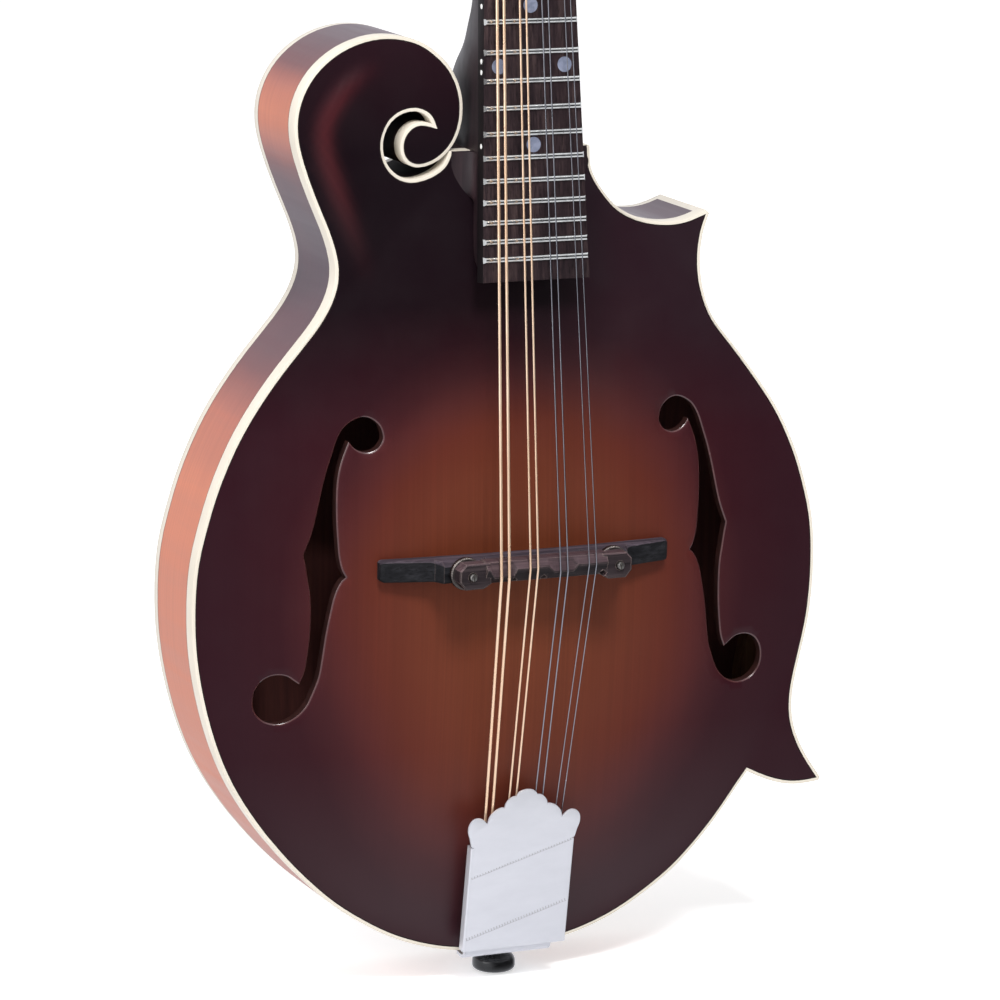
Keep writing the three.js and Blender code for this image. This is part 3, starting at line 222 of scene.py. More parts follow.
def line_distance(spots, line, closed=True):
    """Each spot's distance to a line, its side (+ left) and place along it; the line's length."""
    line, spots = np.asarray(line, float), np.asarray(spots, float)
    ends = np.roll(line, -1, 0) if closed else line[1:]
    line = line if closed else line[:-1]
    best = np.full(len(spots), 1e9)
    side = np.zeros(len(spots))
    place = np.zeros(len(spots))
    start = np.r_[0, np.cumsum(np.hypot(*(ends - line).T))]
    for i, first in enumerate(line):
        step = ends[i] - first
        square = step @ step
        if square < 1e-12:
            continue
        away = spots - first
        part = np.clip((away @ step) / square, 0, 1)
        distance = np.hypot(*(away - part[:, None] * step).T)
        near = distance < best
        best[near] = distance[near]
        side[near] = np.sign(step[0] * away[near, 1] - step[1] * away[near, 0])
        place[near] = start[i] + part[near] * math.sqrt(square)
    return best, side, place, start[-1]


def inside(spots, loops):
    hit = np.zeros(len(spots), bool)
    x, z = spots.T
    for loop in loops:
        for (ax, az), (bx, bz) in zip(loop, np.roll(loop, -1, 0)):
            if az != bz:
                hit ^= ((az > z) != (bz > z)) & (x < (bx - ax) * (z - az) / (bz - az) + ax)
    return hit


def miter(outline, distance, limit=2.4):
    """Outline moved outward by a distance, point for point."""
    outline = np.asarray(outline, float)
    sign = 1 if area(outline) > 0 else -1
    normals = []
    for edge in (outline - np.roll(outline, 1, 0), np.roll(outline, -1, 0) - outline):
        edge = edge / np.maximum(1e-9, np.hypot(*edge.T))[:, None]
        normals.append(sign * np.c_[edge[:, 1], -edge[:, 0]])
    before, after = normals
    shift = (before + after) / (1 + np.sum(before * after, 1) + 1e-3)[:, None]
    length = np.hypot(*shift.T)
    return outline + distance * shift * np.minimum(1, limit / np.maximum(length, 1e-9))[:, None]


def offset(outline, distance):
    """Outline grown outward: sharp corners are cut blunt, points that fold over are dropped."""
    sign = 1 if area(outline) > 0 else -1
    moved = []
    for i, spot in enumerate(outline):
        last, following = outline[i - 1], outline[(i + 1) % len(outline)]
        edge_in = (spot - last) / math.dist(last, spot)
        edge_out = (following - spot) / math.dist(spot, following)
        normal_in = sign * np.array([edge_in[1], -edge_in[0]])
        normal_out = sign * np.array([edge_out[1], -edge_out[0]])
        shift = (normal_in + normal_out) / (1 + normal_in @ normal_out + 1e-6)
        convex = (edge_in[0] * edge_out[1] - edge_in[1] * edge_out[0]) * sign > 0
        if math.hypot(*shift) > 1.35 and convex:
            moved += [spot + normal_in * distance + edge_in * distance * 0.55,
                      spot + normal_out * distance - edge_out * distance * 0.55]
        else:
            moved.append(spot + shift * distance)
    moved = np.array(moved)
    moved = moved[line_distance(moved, outline)[0] > distance * 0.985 - 1e-3]
    kept = [moved[0]]
    for spot in moved[1:]:
        if np.hypot(*(spot - kept[-1])) > 0.2:
            kept.append(spot)
    if np.hypot(*(kept[0] - kept[-1])) < 0.2:
        kept.pop()
    return np.array(kept)


def subdivide(loop, pieces):
    """Each side of the loop cut into pieces(start, end) equal parts."""
    out = []
    for start, end in zip(loop, np.roll(loop, -1, 0)):
        count = pieces(start, end)
        out += [start + (end - start) * k / count for k in range(count)]
    return np.array(out)


def spline(knots, corners=(), count=6, closed=True):
    """Centripetal Catmull-Rom through the knots, sharp at the numbered corners."""
    knots = np.asarray(knots, float)
    total = len(knots)
    out = []

    def between(t, ta, a, tb, b):
        return (tb - t) / (tb - ta) * a + (t - ta) / (tb - ta) * b

    for i in range(total if closed else total - 1):
        end_number = (i + 1) % total
        start, end = knots[i], knots[end_number]
        before, after = 2 * start - end, 2 * end - start
        if i not in corners and (closed or i > 0):
            before = knots[i - 1]
        if end_number not in corners and (closed or i < total - 2):
            after = knots[(i + 2) % total]
        t1 = max(1e-6, math.dist(before, start)) ** 0.5
        t2 = t1 + max(1e-6, math.dist(start, end)) ** 0.5
        t3 = t2 + max(1e-6, math.dist(end, after)) ** 0.5
        for t in np.linspace(t1, t2, count, endpoint=False):
            middle = between(t, t1, start, t2, end)
            early = between(t, 0, between(t, 0, before, t1, start), t2, middle)
            late = between(t, t1, middle, t3, between(t, t2, end, t3, after))
            out.append(between(t, t1, early, t2, late))
    if not closed:
        out.append(knots[-1])
    return np.array(out)


def triangulate(loops, interior=()):
    """Region between loops: points, counter-clockwise triangles, number of each input point."""
    spots, edges = [], []
    for loop in loops:
        first, count = len(spots), len(loop)
        spots += [Vector((float(x), float(z))) for x, z in loop]
        edges += [(first + i, first + (i + 1) % count) for i in range(count)]
    spots += [Vector((float(x), float(z))) for x, z in interior]
    flat, _, found, origins, _, _ = delaunay_2d_cdt(spots, edges, [], 0, 1e-6)
    flat = np.array([(v.x, v.y) for v in flat])
    index = np.full(len(spots), -1)
    for i, sources in enumerate(origins):
        for j in sources:
            index[j] = i
    triangles = np.array([f for f in found if len(f) == 3])
    triangles = triangles[inside(flat[triangles].mean(1), loops)]
    a, b, c = (flat[triangles[:, k]] for k in range(3))
    cross = (b[:, 0] - a[:, 0]) * (c[:, 1] - a[:, 1]) - (b[:, 1] - a[:, 1]) * (c[:, 0] - a[:, 0])
    solid = np.abs(cross) > 1e-7
    triangles, cross = triangles[solid], cross[solid]
    triangles[cross < 0] = triangles[cross < 0][:, [0, 2, 1]]
    return flat, triangles, index


def hex_grid(loops, step, clear):
    """Staggered grid inside the loops, kept clear of them."""
    corners = np.vstack(loops)
    low, high = corners.min(0), corners.max(0)
    rows = []
    for row, z in enumerate(np.arange(low[1], high[1], step * 0.866)):
        x = np.arange(low[0] + (step / 2 if row % 2 else 0), high[0], step)
        rows.append(np.c_[x, np.full(len(x), z)])
    grid = np.vstack(rows)
    grid = grid[inside(grid, loops)]
    for loop in loops:
        grid = grid[line_distance(grid, loop)[0] > clear]
    return grid


def smoothstep(t):
    t = np.clip(t, 0, 1)
    return t * t * (3 - 2 * t)


# ------------------------------------------------------------------ shells
def link(name, data):
    ob = bpy.data.objects.new(name, data)
    bpy.context.scene.collection.objects.link(ob)
    return ob


def shade(mesh, angle):
    """Smooth shading, sharp at edges steeper than an angle in degrees."""
    mesh.polygons.foreach_set("use_smooth", np.ones(len(mesh.polygons), bool))
    mesh.set_sharp_from_angle(angle=angle * DEG)


def finish_piece(ob, replaces=None, body="root", blend=None):
    if blend:
        body_a, body_b, start, end = blend
        tuple(to_row(start)[0])
        tuple(to_row(end)[0])
        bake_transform(ob)
    else:
        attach(ob, body)
    if replaces:
        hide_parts(replaces)
    return ob


class Shell:
    """Closed shells gathered into one piece, in body coordinates."""

    def __init__(self):
        self.verts, self.faces, self.paints, self.count = [], [], [], 0

    def add(self, verts, faces, paint=0, outward=True):
        """Adds a shell; paint is one material number, or a list with one for each face."""
        verts = points(verts)
        faces = [tuple(int(i) for i in f) for f in faces]
        if outward:
            volume = 0.0
            arms = verts - verts.mean(0)
            for f in faces:
                for i in range(1, len(f) - 1):
                    volume += float(np.dot(arms[f[0]], np.cross(arms[f[i]], arms[f[i + 1]])))
            if volume < 0:
                faces = [f[::-1] for f in faces]
        self.verts.append(verts)
        self.faces += [tuple(i + self.count for i in f) for f in faces]
        self.paints += [paint] * len(faces) if isinstance(paint, int) else paint
        self.count += len(verts)
        return self

    def mesh(self, name):
        mesh = bpy.data.meshes.new(name)
        mesh.from_pydata(to_row(np.vstack(self.verts)).tolist(), [], self.faces)
        return mesh

    def build(self, name, paints, slot, replaces=None, body="root", smooth=34, blend=None):
        """Makes the object; paints names its materials, parted by spaces."""
        mesh = self.mesh(name)
        for paint in paints.split():
            mesh.materials.append(PAINT[paint])
        mesh.polygons.foreach_set("material_index", np.array(self.paints, np.int32))
        mesh.update()
        shade(mesh, smooth)
        return finish_piece(link(name, mesh), replaces, body, blend)


def strip(first, second, order=1):
    """Quads between two closed rows of vertex numbers."""
    rows = zip(first, np.roll(first, -1), np.roll(second, -1), second)
    return [quad[::order] for quad in rows]


def loft(rings, closed=False):
    """Skin over rings; capped at both ends unless the last ring joins the first."""
    size, count = len(rings[0]), len(rings)
    rows = [range(i * size, (i + 1) * size) for i in range(count)]
    faces = []
    for i in range(count if closed else count - 1):
        faces += strip(rows[i], rows[(i + 1) % count])
    if not closed:
        faces += [tuple(reversed(rows[0])), tuple(rows[-1])]
    return np.vstack([points(ring) for ring in rings]), faces


def lathe(profile, at, axis, segments=40):
    """Profile (radius, height) turned about an axis; ends on the axis or is capped flat."""
    axis = np.asarray(axis, float) / np.linalg.norm(axis)
    across = np.cross(axis, [0.0, 0, 1] if abs(axis[2]) < 0.9 else [1.0, 0, 0])
    across /= np.linalg.norm(across)
    angles = np.arange(segments)[:, None] / segments * 2 * math.pi
    circle = np.cos(angles) * across + np.sin(angles) * np.cross(axis, across)
    verts, rows, faces = [], [], []
    count = 0
    for radius, height in profile:
        centre = np.asarray(at, float) + axis * height
        ring = centre[None] if radius < 1e-6 else centre + radius * circle
        verts.append(ring)
        rows.append(tuple(range(count, count + len(ring))))
        count += len(ring)
    for first, second in zip(rows[:-1], rows[1:]):
        if len(first) == 1:
            faces += [(first[0], second[(j + 1) % segments], second[j]) for j in range(segments)]
        elif len(second) == 1:
            faces += [(first[j], first[(j + 1) % segments], second[0]) for j in range(segments)]
        else:
            faces += strip(first, second)
    if len(rows[0]) > 1:
        faces.append(rows[0][::-1])
    if len(rows[-1]) > 1:
        faces.append(rows[-1])
    return np.vstack(verts), faces


def arc(x, y, radius, start, end, count):
    angles = np.linspace(start, end, count)
    return [(x + radius * math.cos(a), y + radius * math.sin(a)) for a in angles]


def tube(path, radius, sides):
    path = points(path)
    steps = np.diff(path, axis=0)
    steps = steps / np.linalg.norm(steps, axis=1)[:, None]
    angles = np.arange(sides)[:, None] / sides * 2 * math.pi
    rings = []
    across = None
    for i, centre in enumerate(path):
        tangent = steps[max(i - 1, 0):i + 1].sum(0)
        tangent /= np.linalg.norm(tangent)
        if across is None:
            across = np.array([1.0, 0, 0] if abs(tangent[0]) < 0.9 else [0, 1.0, 0])
        across = across - tangent * (across @ tangent)
        across /= np.linalg.norm(across)
        third = np.cross(tangent, across)
        rings.append(centre + radius * (np.cos(angles) * across + np.sin(angles) * third))
    return loft(rings)


def stitch(flat, index, known, count):
    """Vertex numbers of triangulated points: known outline points, then new ones from count."""
    numbers = {}
    for k, vertex in zip(index, known):
        numbers.setdefault(int(k), vertex)
    new = [k for k in range(len(flat)) if k not in numbers]
    numbers.update({k: count + i for i, k in enumerate(new)})
    return numbers, flat[new]


def prism(loop, y0, y1, place=points, bevel=0.3, steps=2, back_bevel=None):
    """Outline in x, z between y0 and y1 with eased edges, through a frame function."""
    back = bevel if back_bevel is None else back_bevel
    loop = np.asarray(loop, float)
    turns = [k / steps * math.pi / 2 for k in range(steps + 1)]
    levels = [(y0 + bevel * (1 - math.sin(a)), bevel * (1 - math.cos(a))) for a in turns[::-1]]
    levels += [(y1 - back * (1 - math.sin(a)), back * (1 - math.cos(a))) for a in turns]
    rings = [miter(loop, -inset) for _, inset in levels]
    verts = [at_depth(ring, y) for ring, (y, _) in zip(rings, levels)]
    size = len(loop)
    rows = [range(i * size, (i + 1) * size) for i in range(len(levels))]
    count = size * len(levels)
    faces = []
    for first, second in zip(rows[:-1], rows[1:]):
        faces += strip(first, second, 1 if area(loop) > 0 else -1)
    for end, order in ((0, -1), (-1, 1)):
        flat, triangles, index = triangulate([rings[end]])
        numbers, new = stitch(flat, index, rows[end], count)
        verts.append(at_depth(new, levels[end][0]))
        count += len(new)
        faces += [tuple(numbers[int(k)] for k in t)[::order] for t in triangles]
    return place(np.vstack(verts)), faces


def box(x0, x1, y0, y1, z0, z1, place=points):
    verts = [(x, y, z) for x in (x0, x1) for y in (y0, y1) for z in (z0, z1)]
    faces = [(0, 1, 3, 2), (4, 6, 7, 5), (0, 4, 5, 1), (2, 3, 7, 6), (0, 2, 6, 4), (1, 5, 7, 3)]
    return place(verts), faces


def loose(verts, faces, name="part"):
    """A bare object, cut by booleans or used as their tool."""
    mesh = Shell().add(verts, faces).mesh(name)
    mesh.update()
    return link(name, mesh)


def apply_modifiers(ob):
    graph = bpy.context.evaluated_depsgraph_get()
    mesh = bpy.data.meshes.new_from_object(ob.evaluated_get(graph))
    ob.modifiers.clear()
    old = ob.data
    ob.data = mesh
    bpy.data.meshes.remove(old)


def boolean(ob, tools, operation="DIFFERENCE"):
    """Applies booleans at once and drops their tools."""
    for tool in tools:
        modifier = ob.modifiers.new("boolean", "BOOLEAN")
        modifier.object = tool
        modifier.operation = operation
        modifier.solver = "EXACT"
    apply_modifiers(ob)
    for tool in tools:
        mesh = tool.data
        bpy.data.objects.remove(tool)
        bpy.data.meshes.remove(mesh)


def bevel_edges(ob, width, angle):
    modifier = ob.modifiers.new("bevel", "BEVEL")
    modifier.width = width * 0.001
    modifier.segments = 2
    modifier.limit_method = "ANGLE"
    modifier.angle_limit = angle * DEG
    modifier.harden_normals = False
    apply_modifiers(ob)


def finish_cut(ob, paint, smooth, replaces, body="root"):
    """Shades and paints an object made with booleans, attaches it to its body and hides the parts
    it replaces.
    """
    shade(ob.data, smooth)
    ob.data.materials.clear()
    ob.data.materials.append(PAINT[paint])
    finish_piece(ob, replaces, body)


def dome(radius, height):
    angles = np.linspace(0.15, math.pi / 2 * 0.93, 6)
    curve = [(radius * math.cos(a), height * math.sin(a)) for a in angles]
    return [(radius, 0)] + curve + [(0, height)]


def add_screw(shell, place, x, z, y, radius, out, height):
    """Round-head screw, proud of y on the out side (-1 or 1), with a cross of dark bars standing
    for the shade in its recess.
    """
    verts, faces = lathe(dome(radius, height), (0, 0, 0), (0, 1, 0), 24)
    shell.add(place(verts * [1, out, 1] + [x, y, z]), faces)
    low, high = sorted((y + out * height * 0.72, y + out * (height + 0.03)))
    # painted shade: dark bars set into the head stand in for the cross recess
    thin, wide = 0.16 * radius, 0.62 * radius
    for dx, dz in ((wide, thin), (thin, wide)):
        shell.add(*box(x - dx, x + dx, low, high, z - dz, z + dz, place), paint=1)


# ------------------------------------------------------------------ shader nodes
def rgba(value):
    """Shader colour from a grey, an sRGB triple of 0..255 or a linear RGBA."""
    if isinstance(value, (int, float)):
        return (value, value, value, 1)
    if len(value) == 4:
        return value
    return tuple((c / 255) / 12.92 if c <= 10 else ((c / 255 + 0.055) / 1.055) ** 2.4
                 for c in value) + (1.0,)


class Nodes:
    """Short ways to add shader nodes to an emptied tree."""

    def __init__(self, tree):
        self.tree = tree
        tree.nodes.clear()

    def node(self, kind, **settings):
        node = self.tree.nodes.new(kind)
        for key, value in settings.items():
            setattr(node, key, value)
        return node

    def put(self, socket, value):
        if isinstance(value, bpy.types.NodeSocket):
            self.tree.links.new(value, socket)
        else:
            socket.default_value = rgba(value) if isinstance(value, tuple) else value

    def fill(self, node, *values):
        for socket, value in zip(node.inputs, values):
            self.put(socket, value)
        return node.outputs[0]

    def coord(self, kind):
        return self.node("ShaderNodeTexCoord").outputs[kind]

    @cached_property
    def place(self):
        return self.coord("Object")

    def normal(self, kind):
        return self.node("ShaderNodeNewGeometry").outputs[kind]

    def noise(self, scale=1.0, detail=2.0, rough=0.5, distort=0.0, stretch=None, vector=None):
        """Noise over the object's place or a vector, which stretch scales on each axis."""
        vector = self.place if vector is None else vector
        if stretch:
            mapping = self.node("ShaderNodeMapping")
            self.put(mapping.inputs[0], vector)
            mapping.inputs["Scale"].default_value = stretch
            vector = mapping.outputs[0]
        node = self.node("ShaderNodeTexNoise")
        values = {"Vector": vector, "Scale": scale, "Detail": detail,
                  "Roughness": rough, "Distortion": distort}
        for key, value in values.items():
            self.put(node.inputs[key], value)
        return node.outputs[0]

    def math(self, operation, a, b=0.0, c=0.0, clamp=False):
        node = self.node("ShaderNodeMath", operation=operation, use_clamp=clamp)
        return self.fill(node, a, b, c)

    def add(self, a, b):
        return self.math("ADD", a, b)

    def mul(self, a, b):
        return self.math("MULTIPLY", a, b)

    def mul_add(self, a, factor, plus):
        return self.math("MULTIPLY_ADD", a, factor, plus)

    def split(self, vector):
        node = self.node("ShaderNodeSeparateXYZ")
        self.fill(node, vector)
        return node.outputs

    def ramp(self, value, stops, kind="LINEAR"):
        node = self.node("ShaderNodeValToRGB")
        node.color_ramp.interpolation = kind
        elements = node.color_ramp.elements
        while len(elements) < len(stops):
            elements.new(0.5)
        for element, (position, colour) in zip(elements, stops):
            element.position = position
            element.color = rgba(colour)
        return self.fill(node, value)

    def shades(self, value, low, high):
        return self.ramp(value, [(0.3, low), (0.7, high)])

    def mix(self, amount, a, b, mode="MIX"):
        node = self.node("ShaderNodeMix", data_type="RGBA", blend_type=mode)
        for i, value in ((0, amount), (6, a), (7, b)):
            self.put(node.inputs[i], value)
        return node.outputs[2]

    def times(self, a, b):
        return self.mix(1.0, a, b, "MULTIPLY")

    def tint(self, amount, colour, factor):
        return self.mix(amount, colour, self.times(colour, factor))

    def remap(self, value, span, to=(0.0, 1.0), kind="LINEAR"):
        node = self.node("ShaderNodeMapRange", interpolation_type=kind)
        return self.fill(node, value, *span, *to)


class Material(Nodes):
    INPUTS = {
        "color": "Base Color", "rough": "Roughness", "metal": "Metallic",
        "spec": "Specular IOR Level", "coat": "Coat Weight", "coat_rough": "Coat Roughness",
        "glow": "Emission Color", "glow_strength": "Emission Strength",
    }

    def __init__(self, name, rough, spec=0.5, metal=0.0):
        self.data = bpy.data.materials.new(name)
        self.data.use_nodes = True
        super().__init__(self.data.node_tree)
        output = self.node("ShaderNodeOutputMaterial")
        self.surface = self.node("ShaderNodeBsdfPrincipled")
        self.put(output.inputs[0], self.surface.outputs[0])
        self.set(rough=rough, metal=metal, spec=spec)

    def set(self, **values):
        for key, value in values.items():
            self.put(self.surface.inputs[self.INPUTS[key]], value)

    def bump(self, height, strength, distance):
        """Adds bump, distance in metres, and returns the finished material."""
        node = self.node("ShaderNodeBump")
        node.inputs["Strength"].default_value = strength
        node.inputs["Distance"].default_value = distance
        self.put(node.inputs["Height"], height)
        self.put(self.surface.inputs["Normal"], node.outputs[0])
        return self.data


# ------------------------------------------------------------------ materials
WHITE = (1, 1, 1, 1)
ALONG_Z, ALONG_X = (900, 900, 22), (22, 900, 900)  # stretch of wood grain


def stain_radius(mat, x, z, half_x, half_z, blotch):
    """Blotchy elliptical distance from the centre of a plate, 1 at the half axes."""
    parts = [mat.math("POWER", mat.math("ABSOLUTE", mat.math("DIVIDE", value, half)), 2)
             for value, half in ((x, half_x), (z, half_z))]
    radius = mat.math("SQRT", mat.add(*parts))
    return mat.add(radius, mat.mul_add(mat.noise(scale=blotch), 0.16, -0.08))


# distance from the plate's centre, stain colour
SUNBURST = [
    (0.0, (104, 52, 30)), (0.5, (92, 42, 27)), (0.67, (84, 35, 25)), (0.8, (72, 29, 28)),
    (0.9, (58, 22, 26)), (1.02, (46, 14, 22)), (1.25, (42, 14, 23)), (1.6, (40, 15, 24)),
]


def top_material():
    mat = Material("sunburst_spruce_top", rough=0.4, spec=0.3)
    x, _, z = mat.split(mat.place)
    x = mat.mul(x, 1000)
    z = mat.mul_add(z, 1000, PIN_Z + 15)
    # the light patch reaches 130 towards the tail and 97 towards the neck
    reach = mat.mul_add(mat.math("GREATER_THAN", z, 0), -33, 130)
    radius = stain_radius(mat, x, z, 93, reach, blotch=14)
    limit = SUNBURST[-1][0]
    colour = mat.ramp(mat.mul(radius, 1 / limit), [(r / limit, c) for r, c in SUNBURST])
    # painted shade: the upper bout on the bass side is darkened almost to black, as if in shadow
    shadow = mat.mul(mat.remap(z, (62, 108)), mat.remap(x, (42, 8)))
    shadow = mat.mul(shadow, mat.remap(z, (205, 165), to=(0.45, 1.0)))
    colour = mat.tint(shadow, colour, (0.3, 0.5, 0.5, 1))
    # painted reflection: the treble side's upper bout is tinted a cooler, bluish brown to stand
    # for a hazy sheen; its specular is raised there too
    haze_patch = mat.mul(mat.remap(z, (52, 95)), mat.remap(x, (-8, 30)))
    colour = mat.tint(haze_patch, colour, (0.72, 1.0, 1.02, 1))
    # painted highlight: a reddish band along the ridge's crest stands in for the satin highlight
    # there
    glow = mat.node("ShaderNodeAttribute", attribute_name="glow").outputs["Fac"]
    colour = mat.mix(mat.mul(glow, 0.36), colour, (96, 34, 38))
    # fine and wide grain, fainter in the dark stain
    grain = mat.noise(stretch=(1400, 60, 9), detail=3, rough=0.6)
    wide = mat.noise(stretch=(320, 30, 3))
    amount = mat.remap(radius, (0.2, 1.15), to=(1.0, 0.25))
    for pattern, low, high in ((grain, 0.9, 1.06), (wide, 0.95, 1.05)):
        colour = mat.times(colour, mat.mix(amount, WHITE, mat.shades(pattern, low, high)))
    mat.set(color=colour,
            spec=mat.mul_add(haze_patch, 0.17, mat.remap(z, (-60, -125), to=(0.15, 0.46))),
            rough=mat.remap(mat.noise(scale=60, detail=3), (0.3, 0.7), to=(0.36, 0.46)))
    height = mat.add(mat.mul(grain, 0.5), mat.noise(scale=900))
    return mat.bump(height, strength=0.12, distance=0.00003)


def maple_colour(mat, tone, flame, fine, flame_low, flame_high):
    """Stained maple: tone 0 is dark and 1 is light."""
    blotch = mat.math("SUBTRACT", mat.noise(scale=40, detail=3), 0.5)
    tone = mat.math("ADD", tone, mat.mul(blotch, 0.14), clamp=True)
    colour = mat.ramp(tone, [(0.0, (66, 45, 56)), (0.35, (104, 58, 59)),
                             (0.7, (156, 89, 74)), (1.0, (186, 108, 79))])
    colour = mat.times(colour, mat.shades(flame, flame_low, flame_high))
    return mat.times(colour, mat.shades(fine, 0.92, 1.05))


# body z, lightness of the stain on each side
BASS_TONES = [(-168, 0.55), (-125, 0.85), (-80, 1.0), (25, 1.0), (52, 0.75), (76, 0.18),
              (100, 0.0), (126, 0.03), (137, 0.12), (146, 0.45), (155, 0.85), (164, 0.95),
              (173, 0.8), (182, 0.3), (194, 0.0)]
TREBLE_TONES = [(-168, 0.55), (-125, 0.7), (-108, 0.0), (-86, 0.0), (-66, 0.8), (10, 0.9),
                (48, 0.5), (80, 0.05), (120, 0.0)]
TONE_SPAN = (-170, 195)


def side_material():
    mat = Material("flamed_maple_side", rough=0.36)
    x, _, z = mat.split(mat.place)
    x = mat.mul(x, 1000)
    z = mat.mul_add(z, 1000, PIN_Z)
    place = mat.remap(z, TONE_SPAN)
    low, high = TONE_SPAN
    bass, treble = (mat.ramp(place, [((v - low) / (high - low), tone) for v, tone in tones])
                    for tones in (BASS_TONES, TREBLE_TONES))
    tone = mat.mix(mat.remap(x, (-14, 4)), bass, treble)
    # painted shade: the walls of the scroll's slot and the side next to the neck are darkened, as
    # if in shadow, and made rougher and less glossy
    slot = mat.mul(mat.mul(mat.remap(x, (-63, -60)), mat.remap(x, (-9, -12))),
                   mat.mul(mat.remap(z, (128, 131)), mat.remap(z, (180, 172))))
    # u is the length round the sides and v the depth, in metres
    length_depth = mat.coord("UV")
    flame = mat.noise(vector=length_depth, stretch=(150, 9, 1), distort=0.5)
    fine = mat.noise(vector=length_depth, stretch=(14, 900, 1), detail=3, rough=0.6)
    colour = maple_colour(mat, tone, flame, fine, 0.95, 1.04)
    # dark line along both bindings
    depth = mat.split(length_depth)[1]
    edge = mat.math("MAXIMUM", mat.remap(depth, (0.0065, 0.0062)),
                    mat.remap(depth, (0.0364, 0.0367)))
    colour = mat.mix(mat.mul(edge, 0.75), colour, (60, 34, 30))
    rough = mat.remap(flame, (0.2, 0.8), to=(0.32, 0.42))
    mat.set(color=mat.mix(slot, colour, (30, 14, 14)), rough=mat.add(rough, mat.mul(slot, 0.3)),
            spec=mat.mul_add(slot, -0.4, 0.5))
    return mat.bump(mat.add(fine, mat.noise(scale=700)), strength=0.1, distance=0.00003)


def back_material():
    mat = Material("flamed_maple_back", rough=0.36)
    x, _, z = mat.split(mat.place)
    radius = stain_radius(mat, mat.mul(x, 1000), mat.mul_add(z, 1000, PIN_Z + 20), 105, 122,
                          blotch=12)
    # flame lies in a shallow V about the centre line
    across = mat.add(mat.mul(z, 170), mat.mul(mat.math("ABSOLUTE", x), 60))
    vector = mat.fill(mat.node("ShaderNodeCombineXYZ"), mat.mul(x, 8), 0.0, across)
    flame = mat.noise(vector=vector, rough=0.55, distort=0.6)
    fine = mat.noise(stretch=(700, 40, 14), detail=3, rough=0.6)
    tone = mat.remap(radius, (0.45, 1.15), to=(1.0, 0.0))
    mat.set(color=maple_colour(mat, tone, flame, fine, 0.86, 1.1),
            rough=mat.remap(flame, (0.2, 0.8), to=(0.32, 0.42)))
    return mat.bump(mat.add(fine, mat.noise(scale=700)), strength=0.1, distance=0.00003)


def neck_material():
    mat = Material("neck_satin_maple", rough=0.42, spec=0.3)
    grain = mat.noise(stretch=(420, 420, 16), detail=4, rough=0.6)
    mat.set(color=mat.ramp(grain, [(0.3, (27, 18, 22)), (0.55, (37, 25, 29)),
                                   (0.75, (49, 34, 38))]),
            rough=mat.remap(mat.noise(scale=90, detail=3), (0.3, 0.7), to=(0.36, 0.5)))
    return mat.bump(grain, strength=0.12, distance=0.00004)


def dark_wood(name, tones, grain_axis, rough, spec, strength, dark_sides=False, painted_top_light=None,
              pale_edges=0.0):
    """Porous wood, with optional painted light from above, which brightens the faces towards the
    nut and darkens those towards the tail, and optional lightened edges.
    """
    mat = Material(name, rough=rough, spec=spec)
    grain = mat.noise(stretch=grain_axis, detail=4, rough=0.65)
    pores = mat.noise(stretch=tuple(s * 2.3 for s in grain_axis), detail=3, rough=0.7)
    wide = mat.noise(stretch=tuple(s * 0.28 for s in grain_axis))
    figure = mat.add(mat.mul(grain, 0.6), mat.mul(wide, 0.4))
    colour = mat.ramp(figure, list(zip((0.34, 0.5, 0.68), tones)))
    dark = mat.ramp(pores, [(0.36, 0.45), (0.46, 1.0)])
    colour = mat.times(colour, dark)
    if dark_sides:
        sideways = mat.math("ABSOLUTE", mat.split(mat.normal("True Normal"))[0])
        colour = mat.mix(mat.remap(sideways, (0.6, 0.8)), colour, (24, 19, 21))
    # painted light and shade: faces turned towards the nut are brightened and faces turned
    # towards the tail darkened, as under a light from above
    if painted_top_light:
        upward = mat.split(mat.normal("True Normal"))[2]
        lower = mat.mix(mat.remap(upward, (-0.4, -0.1)), (0.6, 0.58, 0.58, 1), WHITE)
        colour = mat.times(colour, mat.mix(mat.remap(upward, (0.12, 0.5)), lower, painted_top_light))
    # edges found by the bevel node are lightened
    if pale_edges:
        bevel = mat.node("ShaderNodeBevel")
        bevel.inputs["Radius"].default_value = 0.00035
        dot = mat.node("ShaderNodeVectorMath", operation="DOT_PRODUCT")
        mat.fill(dot, bevel.outputs[0], mat.normal("Normal"))
        edge = mat.remap(dot.outputs["Value"], (0.99, 0.93))
        colour = mat.mix(mat.mul(edge, pale_edges), colour, (134, 118, 114))
    mat.set(color=colour, rough=mat.remap(pores, (0.3, 0.7), to=(rough + 0.12, rough - 0.08)))
    return mat.bump(mat.add(dark, grain), strength, distance=0.00006)


def ivory_material():
    mat = Material("ivory_binding", rough=0.34, spec=0.45)
    cloud = mat.noise(stretch=(1, 1, 1), scale=35, detail=3)
    mat.set(color=mat.shades(cloud, (206, 198, 184), (214, 206, 193)),
            rough=mat.remap(mat.noise(scale=200), (0.3, 0.7), to=(0.28, 0.4)))
    return mat.bump(mat.noise(scale=1500), strength=0.05, distance=0.00002)


def metal(name, low, high, rough, vary, brush=(260, 260, 260), metallic=1.0):
    mat = Material(name, rough=rough, metal=metallic)
    cloud = mat.noise(stretch=brush, detail=4, rough=0.6)
    mat.set(color=mat.shades(cloud, low, high),
            rough=mat.remap(cloud, (0.25, 0.75), to=(rough - vary, rough + vary)))
    return mat.bump(cloud, strength=0.05, distance=0.00002)


def bare_wood(name, low, high):
    mat = Material(name, rough=0.75, spec=0.2)
    grain = mat.noise(stretch=(500, 500, 14), detail=4, rough=0.6)
    mat.set(color=mat.shades(grain, low, high))
    return mat.bump(grain, strength=0.2, distance=0.00005)


